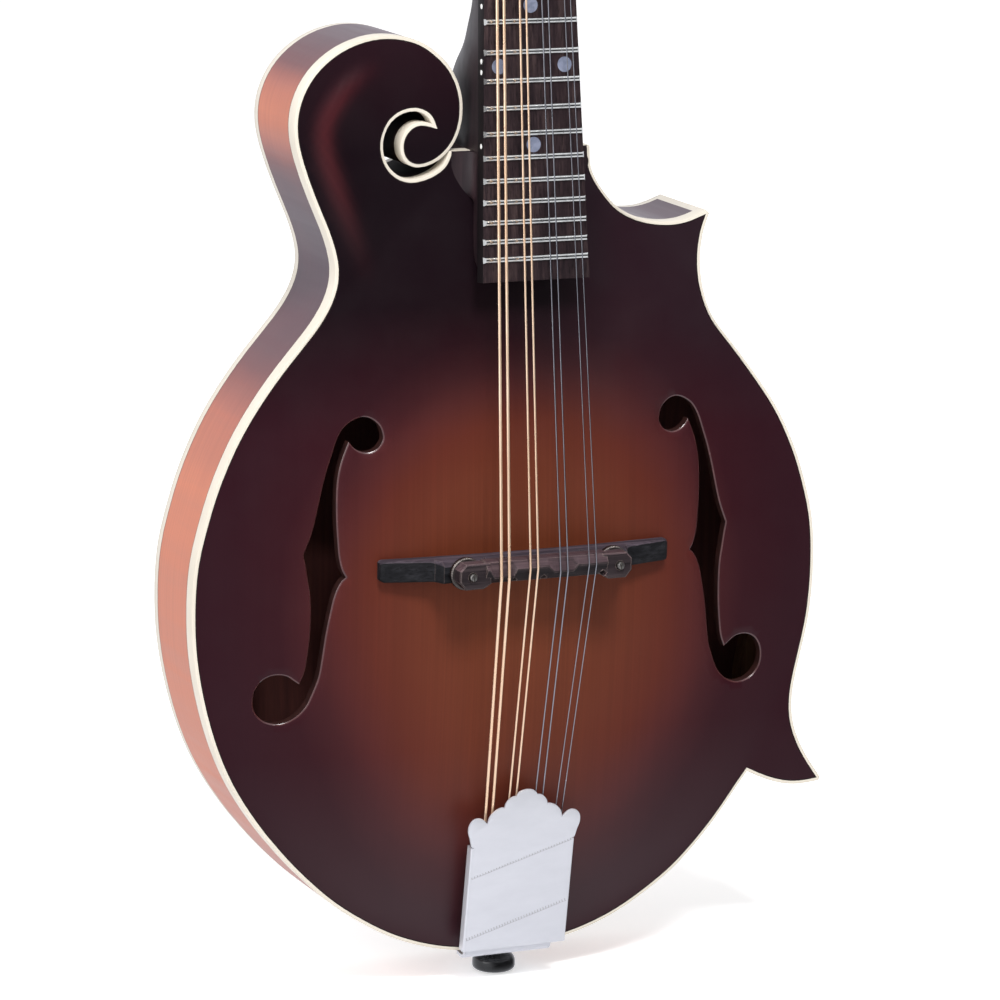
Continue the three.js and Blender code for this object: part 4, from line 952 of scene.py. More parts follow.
def plain(name, low, high, rough, spec, scale, coat=0.0):
    mat = Material(name, rough=rough, spec=spec)
    cloud = mat.noise(scale=scale, detail=4, rough=0.6)
    mat.set(color=mat.shades(cloud, low, high), coat=coat, coat_rough=0.12,
            rough=mat.remap(cloud, (0.25, 0.75), to=(rough * 0.8, rough * 1.25)))
    return mat.bump(mat.noise(scale=scale * 8), strength=0.05, distance=0.00002)


def pearl(name, *tones):
    mat = Material(name, rough=0.25, spec=0.6)
    cloud = mat.noise(scale=160, detail=3, rough=0.6, distort=1.2)
    facing = mat.node("ShaderNodeLayerWeight")
    facing.inputs[0].default_value = 0.35
    sheen = mat.add(mat.mul(cloud, 0.75), mat.mul(facing.outputs[1], 0.35))
    mat.set(color=mat.ramp(sheen, list(zip((0.25, 0.5, 0.75), tones)), "EASE"), coat=0.4)
    return mat.bump(cloud, strength=0.06, distance=0.00005)


def wound_material():
    """Bronze wrap wire: fine turns along z as bump."""
    mat = Material("wound_bronze_wire", rough=0.3, metal=0.7)
    wire_pitch = 0.00023
    z = mat.split(mat.place)[2]
    turns = mat.math("SINE", mat.mul(z, 2 * math.pi / wire_pitch))
    cloud = mat.noise(scale=40)
    mat.set(color=mat.shades(cloud, (246, 208, 174), (252, 224, 196)),
            rough=mat.remap(cloud, (0.3, 0.7), to=(0.24, 0.36)))
    return mat.bump(turns, strength=0.06, distance=0.00001)


PAINT = {
    "top": top_material(),
    "side": side_material(),
    "back": back_material(),
    "neck": neck_material(),
    "board": dark_wood("rosewood_board", [(27, 19, 23), (42, 31, 34), (66, 52, 52)], ALONG_Z,
                       rough=0.55, spec=0.12, strength=0.25, dark_sides=True),
    "line": plain("dark_purfling", (20, 13, 14), (30, 20, 20), rough=0.45, spec=0.3, scale=300),
    "hole_bevel": plain("stained_bevel", (58, 28, 30), (78, 40, 40), rough=0.24, spec=0.75,
                        scale=200),
    # painted shade: the back's inner face is bare wood darkened, as the inside of the body lies
    # in shadow
    "inside_dark": bare_wood("inner_wood_painted_shade", (70, 37, 36), (88, 49, 44)),
    # bridge and saddle carry painted light from above on their faces
    "ebony": dark_wood("bridge_ebony", [(15, 15, 18), (23, 23, 26), (42, 42, 46)], ALONG_X,
                       rough=0.55, spec=0.14, strength=0.3, painted_top_light=(5.5, 4.2, 4.5, 1), pale_edges=0.3),
    "saddle": dark_wood("saddle_ebony", [(31, 24, 27), (42, 34, 37), (58, 49, 51)], ALONG_X,
                        rough=0.5, spec=0.16, strength=0.3, painted_top_light=(2.9, 2.6, 2.6, 1), pale_edges=0.75),
    "overlay": dark_wood("overlay_ebony", [(18, 15, 16), (26, 22, 23), (36, 31, 32)], ALONG_Z,
                         rough=0.36, spec=0.28, strength=0.08),
    "ivory": ivory_material(),
    "inner": bare_wood("bare_inner_wood", (98, 68, 50), (128, 94, 70)),
    "edge": plain("stained_wood_edge", (34, 17, 16), (52, 26, 22), rough=0.6, spec=0.2,
                  scale=300),
    "fret": metal("fret_nickel", (205, 205, 202), (232, 232, 228), rough=0.2, vary=0.04),
    "nickel": metal("satin_nickel_plate", (203, 204, 211), (210, 211, 218), rough=0.36,
                    vary=0.05, brush=(60, 900, 60), metallic=0.4),
    "engraving": metal("engraved_nickel", (158, 154, 156), (182, 178, 180), rough=0.5,
                       vary=0.05),
    "tuner": metal("tuner_nickel_plate", (196, 194, 190), (222, 220, 214), rough=0.24,
                   vary=0.05),
    "steel": metal("plain_steel_wire", (150, 152, 160), (176, 178, 186), rough=0.3, vary=0.04,
                   brush=(40, 40, 40)),
    "stud": metal("stud_steel", (150, 146, 142), (190, 186, 180), rough=0.3, vary=0.06),
    "wheel": metal("knurled_steel", (70, 65, 63), (112, 105, 101), rough=0.38, vary=0.08),
    "brass": metal("machined_brass", (190, 150, 84), (214, 178, 110), rough=0.32, vary=0.06),
    "bronze": wound_material(),
    "black": plain("turned_black_plastic", (14, 14, 15), (26, 26, 28), rough=0.28, spec=0.5,
                   scale=90, coat=0.2),
    "bone": plain("polished_bone", (232, 224, 204), (244, 238, 222), rough=0.35, spec=0.4,
                  scale=60),
    "dot": pearl("pearl_dot", (104, 110, 130), (124, 130, 150), (150, 156, 174)),
    "side_dot": plain("white_side_dot", (236, 236, 234), (250, 250, 248), rough=0.3, spec=0.4,
                      scale=60),
    "pearloid": pearl("pearloid_button", (214, 206, 186), (232, 226, 210), (246, 243, 233)),
    # dark colour standing for the shade inside screw recesses
    "gap": plain("painted_recess_shade", (20, 16, 17), (30, 24, 25), rough=0.8, spec=0.1, scale=200),
}

# ------------------------------------------------------------------ body outlines and heights
# even spacing keeps the shading smooth; it is finer near the two ivory tips
EDGE = subdivide(BODY_EDGE, lambda a, b: math.ceil(math.dist(a, b) / 4.0))


def tip_distance(spot):
    return min(math.dist(spot, tip) for tip in TIPS)


OUT = subdivide(
    offset(EDGE, BIND_W),
    lambda a, b: math.ceil(math.dist(a, b) / 0.6) if tip_distance((a + b) / 2) < 9 else 1)
BASS_HOLE = spline(FHOLE, FHOLE_CORNERS, 4)
TREBLE_HOLE = BASS_HOLE[::-1] * [-1, 1]
RIDGE_LINE = spline(RIDGE, count=5, closed=False)


def arch(x, z, height):
    x, z = np.asarray(x, float), np.asarray(z, float)
    up = z + 18
    half_x = 127 - 0.0024 * np.maximum(0, up) ** 2
    half_z = np.where(up < 0, 141, 185)
    t = np.clip(1 - (x / half_x) ** 2 - (up / half_z) ** 2, 0, 1)
    return height * t * t / (t + 0.12) * 1.12


def ridge_place(x, z):
    """Distance inward from the ridge's crest, place along it and its length."""
    distance, side, place, total = line_distance(np.c_[np.ravel(x), np.ravel(z)], RIDGE_LINE,
                                                 closed=False)
    return distance * side, place, total


def ridge(x, z):
    """Carved ridge that follows the scroll: short rise from the edge, slow fall inside."""
    inward, place, total = ridge_place(x, z)
    slow = 1 / (1 + (np.maximum(inward, 0) / 9.0) ** 2)
    height = np.where(inward < 0, smoothstep(1 + inward / 7.0), slow)
    fade = smoothstep(place / 22) * smoothstep((total - place) / 40)
    return (2.3 * height * fade).reshape(np.shape(x))


def ridge_highlight_band(x, z):
    """Painted highlight: band along the crest of the ridge where a reddish sheen is painted into
    the top's colour.
    """
    inward, place, total = ridge_place(x, z)
    band = np.exp(-((inward + 1.2) / 3.4) ** 2)
    return band * smoothstep(place / 30) * smoothstep((total - place) / 55)


def top_y(x, z):
    return -(arch(x, z, TOP_ARCH) + ridge(x, z))


def back_y(x, z):
    return DEPTH + arch(x, z, BACK_ARCH)


# ------------------------------------------------------------------ body
def plate(name, surface, holes, inward, step, paints, slot, replaces):
    """Carved plate: outer and inner surfaces meshed apart, joined by walls at shared points.
    Inward is the sign of y towards the inside; paints are outside, inside, wall, line, bevel."""
    # holes open slightly at the surface, and a ring of points bounds the dark line
    outer_loops = [EDGE] + [miter(hole, 0.5) for hole in holes]
    line = miter(EDGE, -0.42)
    line = line[line_distance(line, EDGE)[0] > 0.35]
    grid = hex_grid(outer_loops, step, step * 0.55)
    flat, triangles, index = triangulate(outer_loops, np.vstack([line, grid]))
    loops = [EDGE] + holes
    flat_in, triangles_in, index_in = triangulate(loops, hex_grid(loops, 9.0, 3.0))
    inner_y = surface(*flat_in.T) + PLATE_T * inward
    verts = [at_depth(flat, surface(*flat.T)), at_depth(flat_in, inner_y)]
    faces = [tuple(t[::inward]) for t in triangles]
    middles = flat[triangles].mean(1)
    mats = [3 if d < 0.30 else 0 for d in line_distance(middles, EDGE)[0]]
    faces += [tuple(t[::-inward] + len(flat)) for t in triangles_in]
    mats += [1] * len(triangles_in)
    count = len(flat) + len(flat_in)
    first = 0
    for number, loop in enumerate(loops):
        size = len(loop)
        rows = [index[first:first + size], index_in[first:first + size] + len(flat)]
        if number:
            verts.append(at_depth(loop, surface(*loop.T) + 0.4 * inward))
            rows.insert(1, range(count, count + size))
            count += size
        for row, (upper, lower) in enumerate(zip(rows[:-1], rows[1:])):
            faces += strip(upper, lower, inward)
            mats += [4 if number and row == 0 else 2] * size
        first += size
    shell = Shell().add(np.vstack(verts), faces, mats, outward=False)
    return shell.build(name, paints, slot, replaces, smooth=40)


def binding(name, face_y, hidden_y, replaces):
    """Band flush with the sides, flat on the plate's side, with an eased outer corner."""
    ease = 0.35
    inward = 1 if face_y < hidden_y else -1
    flat, triangles, index = triangulate([EDGE, miter(OUT, -ease)])
    verts = [at_depth(flat, face_y)]
    rows = [index[len(EDGE):]]
    count = len(flat)
    for ring, y in ((miter(OUT, -ease * 0.3), face_y + inward * ease * 0.3),
                    (OUT, face_y + inward * ease), (OUT, hidden_y), (EDGE, hidden_y)):
        verts.append(at_depth(ring, y))
        rows.append(range(count, count + len(ring)))
        count += len(ring)
    faces = [tuple(t[::inward]) for t in triangles]
    for first, second in zip(rows[:3], rows[1:4]):
        faces += strip(first, second, inward)
    faces += strip(index[:len(EDGE)], rows[4], -inward)
    flat, triangles, index = triangulate([EDGE, OUT])
    numbers, new = stitch(flat, index, [*rows[4], *rows[3]], count)
    verts.append(at_depth(new, hidden_y))
    faces += [tuple(numbers[int(k)] for k in t)[::-inward] for t in triangles]
    shell = Shell().add(np.vstack(verts), faces, outward=False)
    shell.build(name, "ivory", "binding", replaces, smooth=38)


def side_ribs():
    """Outer wall with round length and depth as UV, inner wall 2.4 behind it."""
    inner = miter(OUT, -2.4, 1.6)
    depths = np.linspace(TOP_BIND_H + 0.02, DEPTH - BACK_BIND_H - 0.02, 6)
    levels = [(OUT, y) for y in depths] + [(inner, depths[-1]), (inner, depths[0])]
    following = np.roll(OUT, -1, 0)
    length = np.r_[0, np.cumsum(np.hypot(*(following - OUT).T))][:-1]
    uv = np.vstack([np.c_[length, np.full(len(OUT), y)] for _, y in levels]) * 0.001
    wall = [2 if tip_distance(middle) < 3.4 else 0 for middle in (OUT + following) / 2]
    mats = wall * 5 + [1] * (3 * len(OUT))
    verts, faces = loft([at_depth(ring, y) for ring, y in levels], closed=True)
    shell = Shell().add(verts, faces, mats, outward=False)
    mesh = shell.build("side_ribs", "side inner ivory", "side_maple", "rim", smooth=40).data
    corners = np.zeros(len(mesh.loops), np.int32)
    mesh.loops.foreach_get("vertex_index", corners)
    layer = mesh.uv_layers.new(name="UVMap")
    layer.data.foreach_set("uv", uv[corners].astype(np.float32).ravel())


soundboard = plate("soundboard", top_y, [BASS_HOLE, TREBLE_HOLE], 1, 3.0,
                   "top inner edge line hole_bevel", "top_spruce", "top_plate").data
spots = np.zeros(len(soundboard.vertices) * 3, np.float32)
soundboard.vertices.foreach_get("co", spots)
spots = spots.reshape(-1, 3).astype(float) * 1000 + [0, PIN_Y, PIN_Z]
# painted highlight along the scroll's ridge, kept as the glow attribute
glow = soundboard.attributes.new("glow", "FLOAT", "POINT")
glow.data.foreach_set("value", ridge_highlight_band(spots[:, 0], spots[:, 2]).astype(np.float32))
plate("back_board", back_y, [], -1, 4.5, "back inside_dark edge line edge", "back_maple",
      "back_plate")
binding("front_binding", 0.0, TOP_BIND_H, "top_binding")
binding("rear_binding", DEPTH, DEPTH - BACK_BIND_H, "back_binding")
side_ribs()

# ------------------------------------------------------------------ neck and headstock
# distance along, depth, width at the back over width at the board, powers of the curve in x and y
NECK_TABLE = np.array([
    (-6, 56, 0.75, 0.55, 0.65), (14, 56, 0.76, 0.55, 0.65), (22, 53, 0.78, 0.55, 0.65),
    (28, 49, 0.8, 0.55, 0.65), (32, 44.5, 0.81, 0.55, 0.65), (34, 43.5, 0.82, 0.56, 0.66),
    (38, 37.75, 0.84, 0.6, 0.7), (42, 31.75, 0.86, 0.62, 0.72), (48, 28.25, 0.88, 0.68, 0.78),
    (56, 22, 0.9, 0.75, 0.84), (66, 18.5, 0.92, 0.82, 0.88), (80, 16.6, 0.92, 0.85, 0.9),
    (110, 15.2, 0.92, 0.85, 0.9), (170, 14.2, 0.92, 0.85, 0.9),
    (NUT_ALONG - 1, 14.5, 0.92, 0.85, 0.9)]).T
NECK_STATIONS = sorted({
    -6, -1, 4, 9, 14, 18, 22, 25, *np.arange(27, 60, 1.5), 63, 66, 70, 75, 80, 90, 100, 110, 130,
    150, 170, 185, NUT_ALONG - 1})
# distance past the nut, y of the back and of the top, half width, where the headstock begins
VOLUTE = [(3, 19.9, 6.5, 14.1), (7, 19.3, 8.5, 14.1), (11, 18.9, 10, 14.4), (16, 18.4, 11, 14.6)]


def neck_ring(angles, distance, half, top, depth, taper, power_x, power_y):
    cos, sin = np.cos(angles), np.maximum(0, np.sin(angles))
    x = half * np.copysign(np.abs(cos) ** power_x, cos) * (1 - (1 - taper) * sin)
    return neck(np.c_[x, top + depth * sin ** power_y, np.full(len(x), distance)])


def neck_and_headstock():
    turn = np.arange(45) / 44
    eased = (0.5 - 0.5 * np.cos(turn * math.pi)) * 0.35 * math.pi + turn * 0.65 * math.pi
    foot_y = DEPTH - 1.2
    rings = []
    for distance in NECK_STATIONS:
        # tabled values, smoothed a little along the neck
        nearby = distance + np.array([-2.5, -1.2, 0, 1.2, 2.5])
        shape = [np.mean(np.interp(nearby, NECK_TABLE[0], column)) for column in NECK_TABLE[1:]]
        ring = neck_ring(eased, distance, half_width(distance) - 0.15, BOARD_T, *shape)
        # the heel's foot is flat under its cap, and its end is flat against the side
        over = np.maximum(0, ring[:, 1] - foot_y)
        ring[:, 1] = np.minimum(ring[:, 1], foot_y) + 1.1 * (1 - np.exp(-over / 1.1))
        end_z = JOINT_Z + BIND_W + 0.15 + 0.002 * (distance + 6)
        ring[:, 2] = np.maximum(ring[:, 2], end_z)
        rings.append(ring)
    for past, back, top, half in VOLUTE:
        rings.append(neck_ring(turn * math.pi, NUT_ALONG + past, half, top, back - top, 0.92,
                               0.85, 0.9))
    shell = Shell().add(*loft(rings))
    shell.add(*prism(HEAD_LINE, OVERLAY_T + 0.02, HEAD_T, head, bevel=0.2, steps=1,
                     back_bevel=1.6))
    shell.build("neck_and_headstock", "neck", "neck_maple", "neck", smooth=42)


def headstock_face():
    """Dark veneer, and the bell-shaped truss rod cover with its screws."""
    veneer = miter(HEAD_LINE, -0.05)
    veneer[:, 1] = np.maximum(veneer[:, 1], 1.3)
    shell = Shell().add(*prism(veneer, 0.0, OVERLAY_T, head, bevel=0.45, back_bevel=0.05))
    shell.build("headstock_veneer", "overlay", "overlay_wood", "headstock_overlay", smooth=40)
    bell = spline([(-7.5, 2.5), (7.5, 2.5), (8.7, 8), (8, 15), (4.5, 20.5), (0, 25),
                   (-4.5, 20.5), (-8, 15), (-8.7, 8)], {0, 1, 5}, 5)
    face_y = -1.9
    shell = Shell().add(*prism(bell, face_y, -0.05, head, bevel=0.5, steps=3, back_bevel=0.05))
    shell.build("truss_rod_cover_plate", "black", "black_plastic", "truss_rod_cover", smooth=40)
    shell = Shell()
    for x, z in ((-5.2, 5.0), (5.2, 5.0), (0, 21.2)):
        add_screw(shell, head, x, z, face_y, radius=1.15, out=-1, height=0.5)
    shell.build("truss_cover_screws", "tuner gap", "tuner_nickel")


def heel_cap():
    cap = spline([(-12.4, 149.9), (12.4, 149.9), (12.3, 156), (11.8, 163), (9.8, 168),
                  (5.6, 171.6), (0, 172.8), (-5.6, 171.6), (-9.8, 168), (-11.8, 163),
                  (-12.3, 156)], {0, 1}, 5)
    shell = Shell().add(*prism(cap, DEPTH - 0.05, DEPTH + 2.1, bevel=0.05, back_bevel=0.5))
    shell.build("heel_cap_ivory", "ivory", "binding", "heel_cap")


HEAD_LINE = spline(HEAD, {0, len(HEAD) - 1}, 5)[:(len(HEAD) - 1) * 5 + 1]
neck_and_headstock()
headstock_face()
heel_cap()


# ------------------------------------------------------------------ fingerboard
def fret_along(number):
    return along(SCALE * 2 ** (-number / 12))


# distance along the neck of the dots, and whether they are a pair
MARKERS = [((fret_along(n) + fret_along(n - 1)) / 2, False) for n in (5, 7)]
MARKERS += [(along(203.5), False), (along(181.5), True), (along(152.6), False)]


def fingerboard():
    low, high = along(BOARD_END_Z), NUT_ALONG - 0.05
    plan = [(-half_width(low), low), (half_width(low), low),
            (half_width(high), high), (-half_width(high), high)]
    shell = Shell().add(*prism(plan, 0, BOARD_T - 0.02, neck, bevel=0.35, back_bevel=0.05))
    shell.build("rosewood_fingerboard", "board", "fingerboard_wood", "fingerboard", smooth=40)


def frets():
    crown = [(-1.05 * math.sin(a) ** 0.8, -1.1 * math.cos(a))
             for a in np.linspace(0.18, math.pi - 0.18, 11)]
    profile = [(0.5, -1.1), (0.0, -1.12)] + crown + [(0.0, 1.12), (0.5, 1.1)]
    for number in range(1, 21):
        at = fret_along(number)
        half = half_width(at) - 0.05
        rings = [neck([(sx * (half - 0.85 * max(0, -y) / 1.05), y, at + z) for y, z in profile])
                 for sx in (-1, 1)]
        Shell().add(*loft(rings)).build("fret_%02d" % number, "fret", "fingerboard_wood",
                                        "fingerboard", smooth=50)


def dots():
    outward = -(neck([(0, 1, 0)]) - neck([(0, 0, 0)]))[0]
    profile = [(2.85, -0.6), (2.85, 0.012), (2.6, 0.03), (0, 0.035)]
    shell = Shell()
    for at, pair in MARKERS:
        for x in (-13.2, 13.2) if pair else (0,):
            shell.add(*lathe(profile, neck([(x, 0, at)])[0], outward, 40))
    shell.build("fingerboard_dots", "dot", "fingerboard_wood")
    profile = [(0.95, -0.4), (0.95, 0.03), (0.8, 0.06), (0, 0.07)]
    shell = Shell()
    for at, pair in MARKERS:
        for dz in (-2.0, 2.0) if pair else (0,):
            centre = neck([(-half_width(at + dz), 2.3, at + dz)])[0]
            shell.add(*lathe(profile, centre, (-1, 0, 0), 20))
    shell.build("side_dots", "side_dot", "fingerboard_wood")


def fingerboard_extension():
    """Block that carries the board over the soundboard, with carved hollow sides."""
    # z, half width where it meets the soundboard
    flare = spline([(149.45, 28.2), (145, 28.4), (141.5, 27.9), (137.5, 25.6), (134.2, 22.9),
                    (131.2, 19.6), (129.5, 19.5), (118, 20.1), (109.3, 19.7), (106.3, 18.4)],
                   closed=False)
    flare = flare[np.argsort(flare[:, 0])]
    rings = []
    for z in np.concatenate([np.linspace(149.45, 130.5, 20), np.linspace(129, 106.3, 10)]):
        wide = float(np.interp(z, flare[:, 0], flare[:, 1]))
        half = half_width(along(z)) - 0.5
        upper_y = neck([(0, BOARD_T - 0.03, along(z))])[0, 1]
        lower_y = float(top_y(-wide, z)) + 0.25
        power = 2.2 if wide > half + 1.2 else 1
        # from under the board, down a hollow, out to the soundboard
        side = [(half + (wide - half) * t ** power, upper_y + (lower_y - upper_y) * t ** 0.75)
                for t in (j / 12 for j in range(13))]
        low = [(x, float(top_y(x, z)) + 0.3) for x in np.linspace(-wide * 0.9, wide * 0.9, 7)]
        ring = [(-x, y) for x, y in side] + low + side[::-1]
        rings.append([(x, y, z) for x, y in ring])
    Shell().add(*loft(rings)).build("fingerboard_extension", "neck", "neck_maple",
                                    "fingerboard_riser", smooth=48)


def string_nut():
    """Bone nut with a slot for each string."""
    profile = [(4.9, 0.0), (-1.5, 0.0), (-2.2, 0.9), (-2.4, 1.6), (-2.3, 2.6), (-1.8, 4.6),
               (4.9, 4.6)]
    rings = [neck([(sx * (NUT_HALF - 0.1), y, z + NUT_ALONG + 0.02) for y, z in profile])
             for sx in (-1, 1)]
    nut = loose(*loft(rings), name="string_nut")
    slots = []
    for _, gauge, _, x, *_ in STRINGS:
        half = gauge / 2 + 0.08
        slots.append(loose(*box(x - half, x + half, -6, -1.15, NUT_ALONG - 2, NUT_ALONG + 8,
                                neck)))
    boolean(nut, slots)
    bevel_edges(nut, width=0.18, angle=30)
    finish_cut(nut, "bone", 40, "nut")


fingerboard()
frets()
dots()
fingerboard_extension()
string_nut()


# ------------------------------------------------------------------ bridge
def bridge_section(x):
    """Closed section of the base at x, as (y, z) with eased long edges."""
    wide = abs(x)
    top = float(np.interp(wide, [0, 19.4, 20.6, 37.4, 39.4, 41, 59],
                          [-20.5, -20.5, -22.6, -22.6, -18.6, -18.0, -13.4]))
    # the long bevel on the nut side is wide between the wings
    bevel = float(np.interp(wide, [37, 41], [1.0, 0.38]))
    foot = float(top_y(x, BRIDGE_Z)) - 0.02
    end = max(0.0, (wide - 57.6) / 1.4)
    half = 4.1 - 0.9 * end ** 2
    top += 0.9 * end ** 2
    section = [(foot, -half), (top + 0.54, -half), (top + 0.18, 0.18 - half),
               (top, 0.54 - half), (top, half - 1.9 * bevel),
               (top + 0.25 * bevel, half - 1.5 * bevel), (top + 2.3 * bevel, half), (foot, half)]
    section += [(float(top_y(x, BRIDGE_Z + dz)) - 0.02, dz) for dz in (half * 0.5, -half * 0.5)]
    return [(x, y, BRIDGE_Z + dz) for y, dz in section]


def bridge_foot():
    corners = (19.4, 20.6, 37.4, 38.4, 39.4, 41, 57.6, 58.3, 58.8)
    stations = sorted({*np.linspace(-59, 59, 60), *corners, *(-x for x in corners)})
    Shell().add(*loft([bridge_section(x) for x in stations])).build(
        "bridge_foot", "ebony", "bridge_ebony", "bridge_base", smooth=38)


def bridge_post(side, x):
    """Threaded stud with a screwdriver slot, and its knurled wheel."""
    profile = [(1.45, 0)]
    for height in np.arange(0.4, 17.6, 0.6):
        profile += [(1.6, height), (1.45, height + 0.3)]
    profile += [(1.55, 18.4), (1.5, 19.2), (1.15, 19.8), (0, 19.9)]
    stud = loose(*lathe(profile, (x, -13.8, BRIDGE_Z), (0, -1, 0), 28),
                 name="bridge_stud_" + side)
    boolean(stud, [loose(*box(x - 0.3, x + 0.3, -34.5, -32.7, BRIDGE_Z - 3, BRIDGE_Z + 3))])
    finish_cut(stud, "stud", 35, "bridge_post_" + side)
    rings = []
    for i in range(168):
        angle = i / 168 * 2 * math.pi
        rim = 6.25 if i % 3 == 0 else 5.99
        section = [(1.75, -1.3), (5.3, -1.3), (5.65, -1.2), (rim, -0.8),
                   (rim, 0.8), (5.65, 1.2), (5.3, 1.3), (1.75, 1.3)]
        rings.append([(x + r * math.cos(angle), -25.2 + h, BRIDGE_Z + r * math.sin(angle))
                      for r, h in section])
    Shell().add(*loft(rings, closed=True)).build(
        "knurled_wheel_" + side, "wheel", "wheel_metal", "thumbwheel_" + side,
        body="wheel_" + side, smooth=30)


# zig-zag crest of the saddle: x, z pairs
CREST = pairs(
    -24.6,-2.4, -23.6,-2.4, -21.6,-5.2, -14.0,-5.2, -12.4,-2.7, -1.6,-2.7, 0.4,-2.6, 2.6,-4.7,
    10.4,-4.7, 12.4,-2.6, 13.6,-2.8, 24.6,-2.8)


def saddle():
    """Bar with the zig-zag crest between two many-sided lobes over the wheels."""
    bottom = -26.65
    rings = []
    for x in sorted({*CREST[:, 0], *np.arange(-20, 24, 2.0)}):
        crest = float(np.interp(x, *CREST.T))
        section = [(bottom, -7.7), (-30.4, -7.7), (-31.0, -7.5), (CREST_Y + 0.02, crest - 0.3),
                   (CREST_Y + 0.02, crest + 0.3), (-31.5, 0.3), (-30.8, 0.7), (bottom, 0.8)]
        rings.append([(x, y, z) for y, z in section])
    bar = loose(*loft(rings), name="compensated_saddle")
    lobe = np.array([(22.9, 0.3), (32.6, 0.3), (35.0, -2.2), (35.0, -6.6), (32.6, -9.4),
                     (25.4, -9.4), (22.3, -7.6)])
    lobes = [loose(*prism(lobe * [sx, 1], -32.2, bottom, bevel=0.45, steps=1, back_bevel=0.05))
             for sx in (-1, 1)]
    boolean(bar, lobes, "UNION")
    bore = [(1.75, 0), (1.75, 20)]
    cuts = [loose(*lathe(bore, (sx * POST_X, -20, BRIDGE_Z), (0, -1, 0), 24)) for sx in (-1, 1)]
    # small diamond notches on the tail side
    for x in (-13.2, -0.9, 23.2):
        diamond = [(x, -5.6), (x + 1.5, -7.0), (x + 0.2, -8.6), (x - 1.4, -7.0)]
        cuts.append(loose(*prism(diamond, -34.0, -30.2, bevel=0.01, steps=1)))
    boolean(bar, cuts)
    bevel_edges(bar, width=0.2, angle=24)
    finish_cut(bar, "saddle", 40, "bridge_saddle", body="saddle")


bridge_foot()
for side, sx in SIDES:
    bridge_post(side, sx * POST_X)
saddle()


# ------------------------------------------------------------------ tailpiece
def up_cover(z):
    """Distance up the cover of a body height z."""
    return (z - COVER_Z) / math.cos(COVER_TILT)


# right half of the cover's upper outline, body x, z: an ear and three lobes with sharp joints
COVER_CURVES = [
    [(21.5, -113.4), (22.2, -110.5), (23.1, -107.6), (22.9, -104.8), (21.6, -102.9),
     (19.6, -102.2), (17.5, -102.8), (15.4, -104.8)],
    [(15.4, -104.8), (14.9, -102.6), (13.6, -100.7), (11.6, -99.3), (9.6, -98.7), (8.9, -98.9)],
    [(8.9, -98.9), (8.4, -97.2), (7.2, -95.6), (5.6, -94.7), (4.4, -94.6)],
    [(4.4, -94.6), (3.6, -93.4), (2.2, -92.5), (0, -92.1)],
]


def tailpiece_cover():
    right = np.vstack([spline(curve, count=5, closed=False)[:-1] for curve in COVER_CURVES])
    outline = np.vstack([
        [(-20.2, -156.7), (20.2, -156.7), (20.2, -114.1), (21.2, -113.7)], right,
        [(0.0, -92.1)], right[::-1] * [-1, 1], [(-21.2, -113.7), (-20.2, -114.1)]])
    outline[:, 1] = up_cover(outline[:, 1])
    shell = Shell().add(*prism(outline, -0.006, 1.0, cover, bevel=0.22))
    # folded channel below the ears
    half, fold, flange = 21.4, 0.6, 3.6
    section = [(1 - half, flange), (-half, flange), (-half, fold)]
    section += arc(fold - half, fold, fold, math.pi, 1.5 * math.pi, 5)[1:]
    section += [(x, 0) for x in (-14, -7, 0, 7, 14)]
    section += arc(half - fold, fold, fold, -math.pi / 2, 0, 5)
    section += [(half, flange), (half - 1, flange), (half - 1, 1.0), (1 - half, 1.0)]
    heights = [0.0, 0.25, 1.0, *np.linspace(4, 40, 10), 43.0, 43.3]
    verts, faces = loft([[(x, y, z) for x, y in section] for z in heights])
    shell.add(cover(verts), faces)
    # lip across the bottom: the prism's thickness is turned to lie along z
    verts, faces = prism([(-21.3, 0), (21.3, 0), (21.3, 3.5), (-21.3, 3.5)], 0.0, 1.0, bevel=0.12)
    shell.add(cover(verts[:, [0, 2, 1]] + [0, 0.1, -0.02]), faces)
    shell.build("pressed_tailpiece_cover", "nickel", "tailpiece_nickel", "tailpiece_cover",
                body="cover", smooth=40)


def engraved_band(shell, z0, z1, height):
    """Fine line rising from bass to treble, with a row of ticks standing on it."""
    start, end = np.array([-20.4, up_cover(z0)]), np.array([20.4, up_cover(z1)])
    length = np.hypot(*(end - start))
    forward = (end - start) / length
    across = np.array([-forward[1], forward[0]])
    middle = (start + end) / 2

    def bar(centre, half_length, half_height):
        corners = np.array([centre + forward * a * half_length + across * b * half_height
                            for a, b in ((-1, -1), (1, -1), (1, 1), (-1, 1))])
        verts, faces = loft([at_depth(corners, y) for y in (-0.022, 0.02)])
        shell.add(cover(verts), faces)

    bar(middle, length / 2, 0.045)
    for place in np.arange(-length / 2 + 0.4, length / 2 - 0.2, 1.16):
        bar(middle + forward * place + across * 0.5 * height, 0.11, 0.5 * height)


def engraving():
    shell = Shell()
    engraved_band(shell, -127.0, -114.6, height=0.75)
    engraved_band(shell, -152.4, -139.9, height=1.1)
    shell.build("cover_engraving", "engraving", "tailpiece_nickel", body="cover")


def hook_z(number):
    return -118 if number % 2 else -124


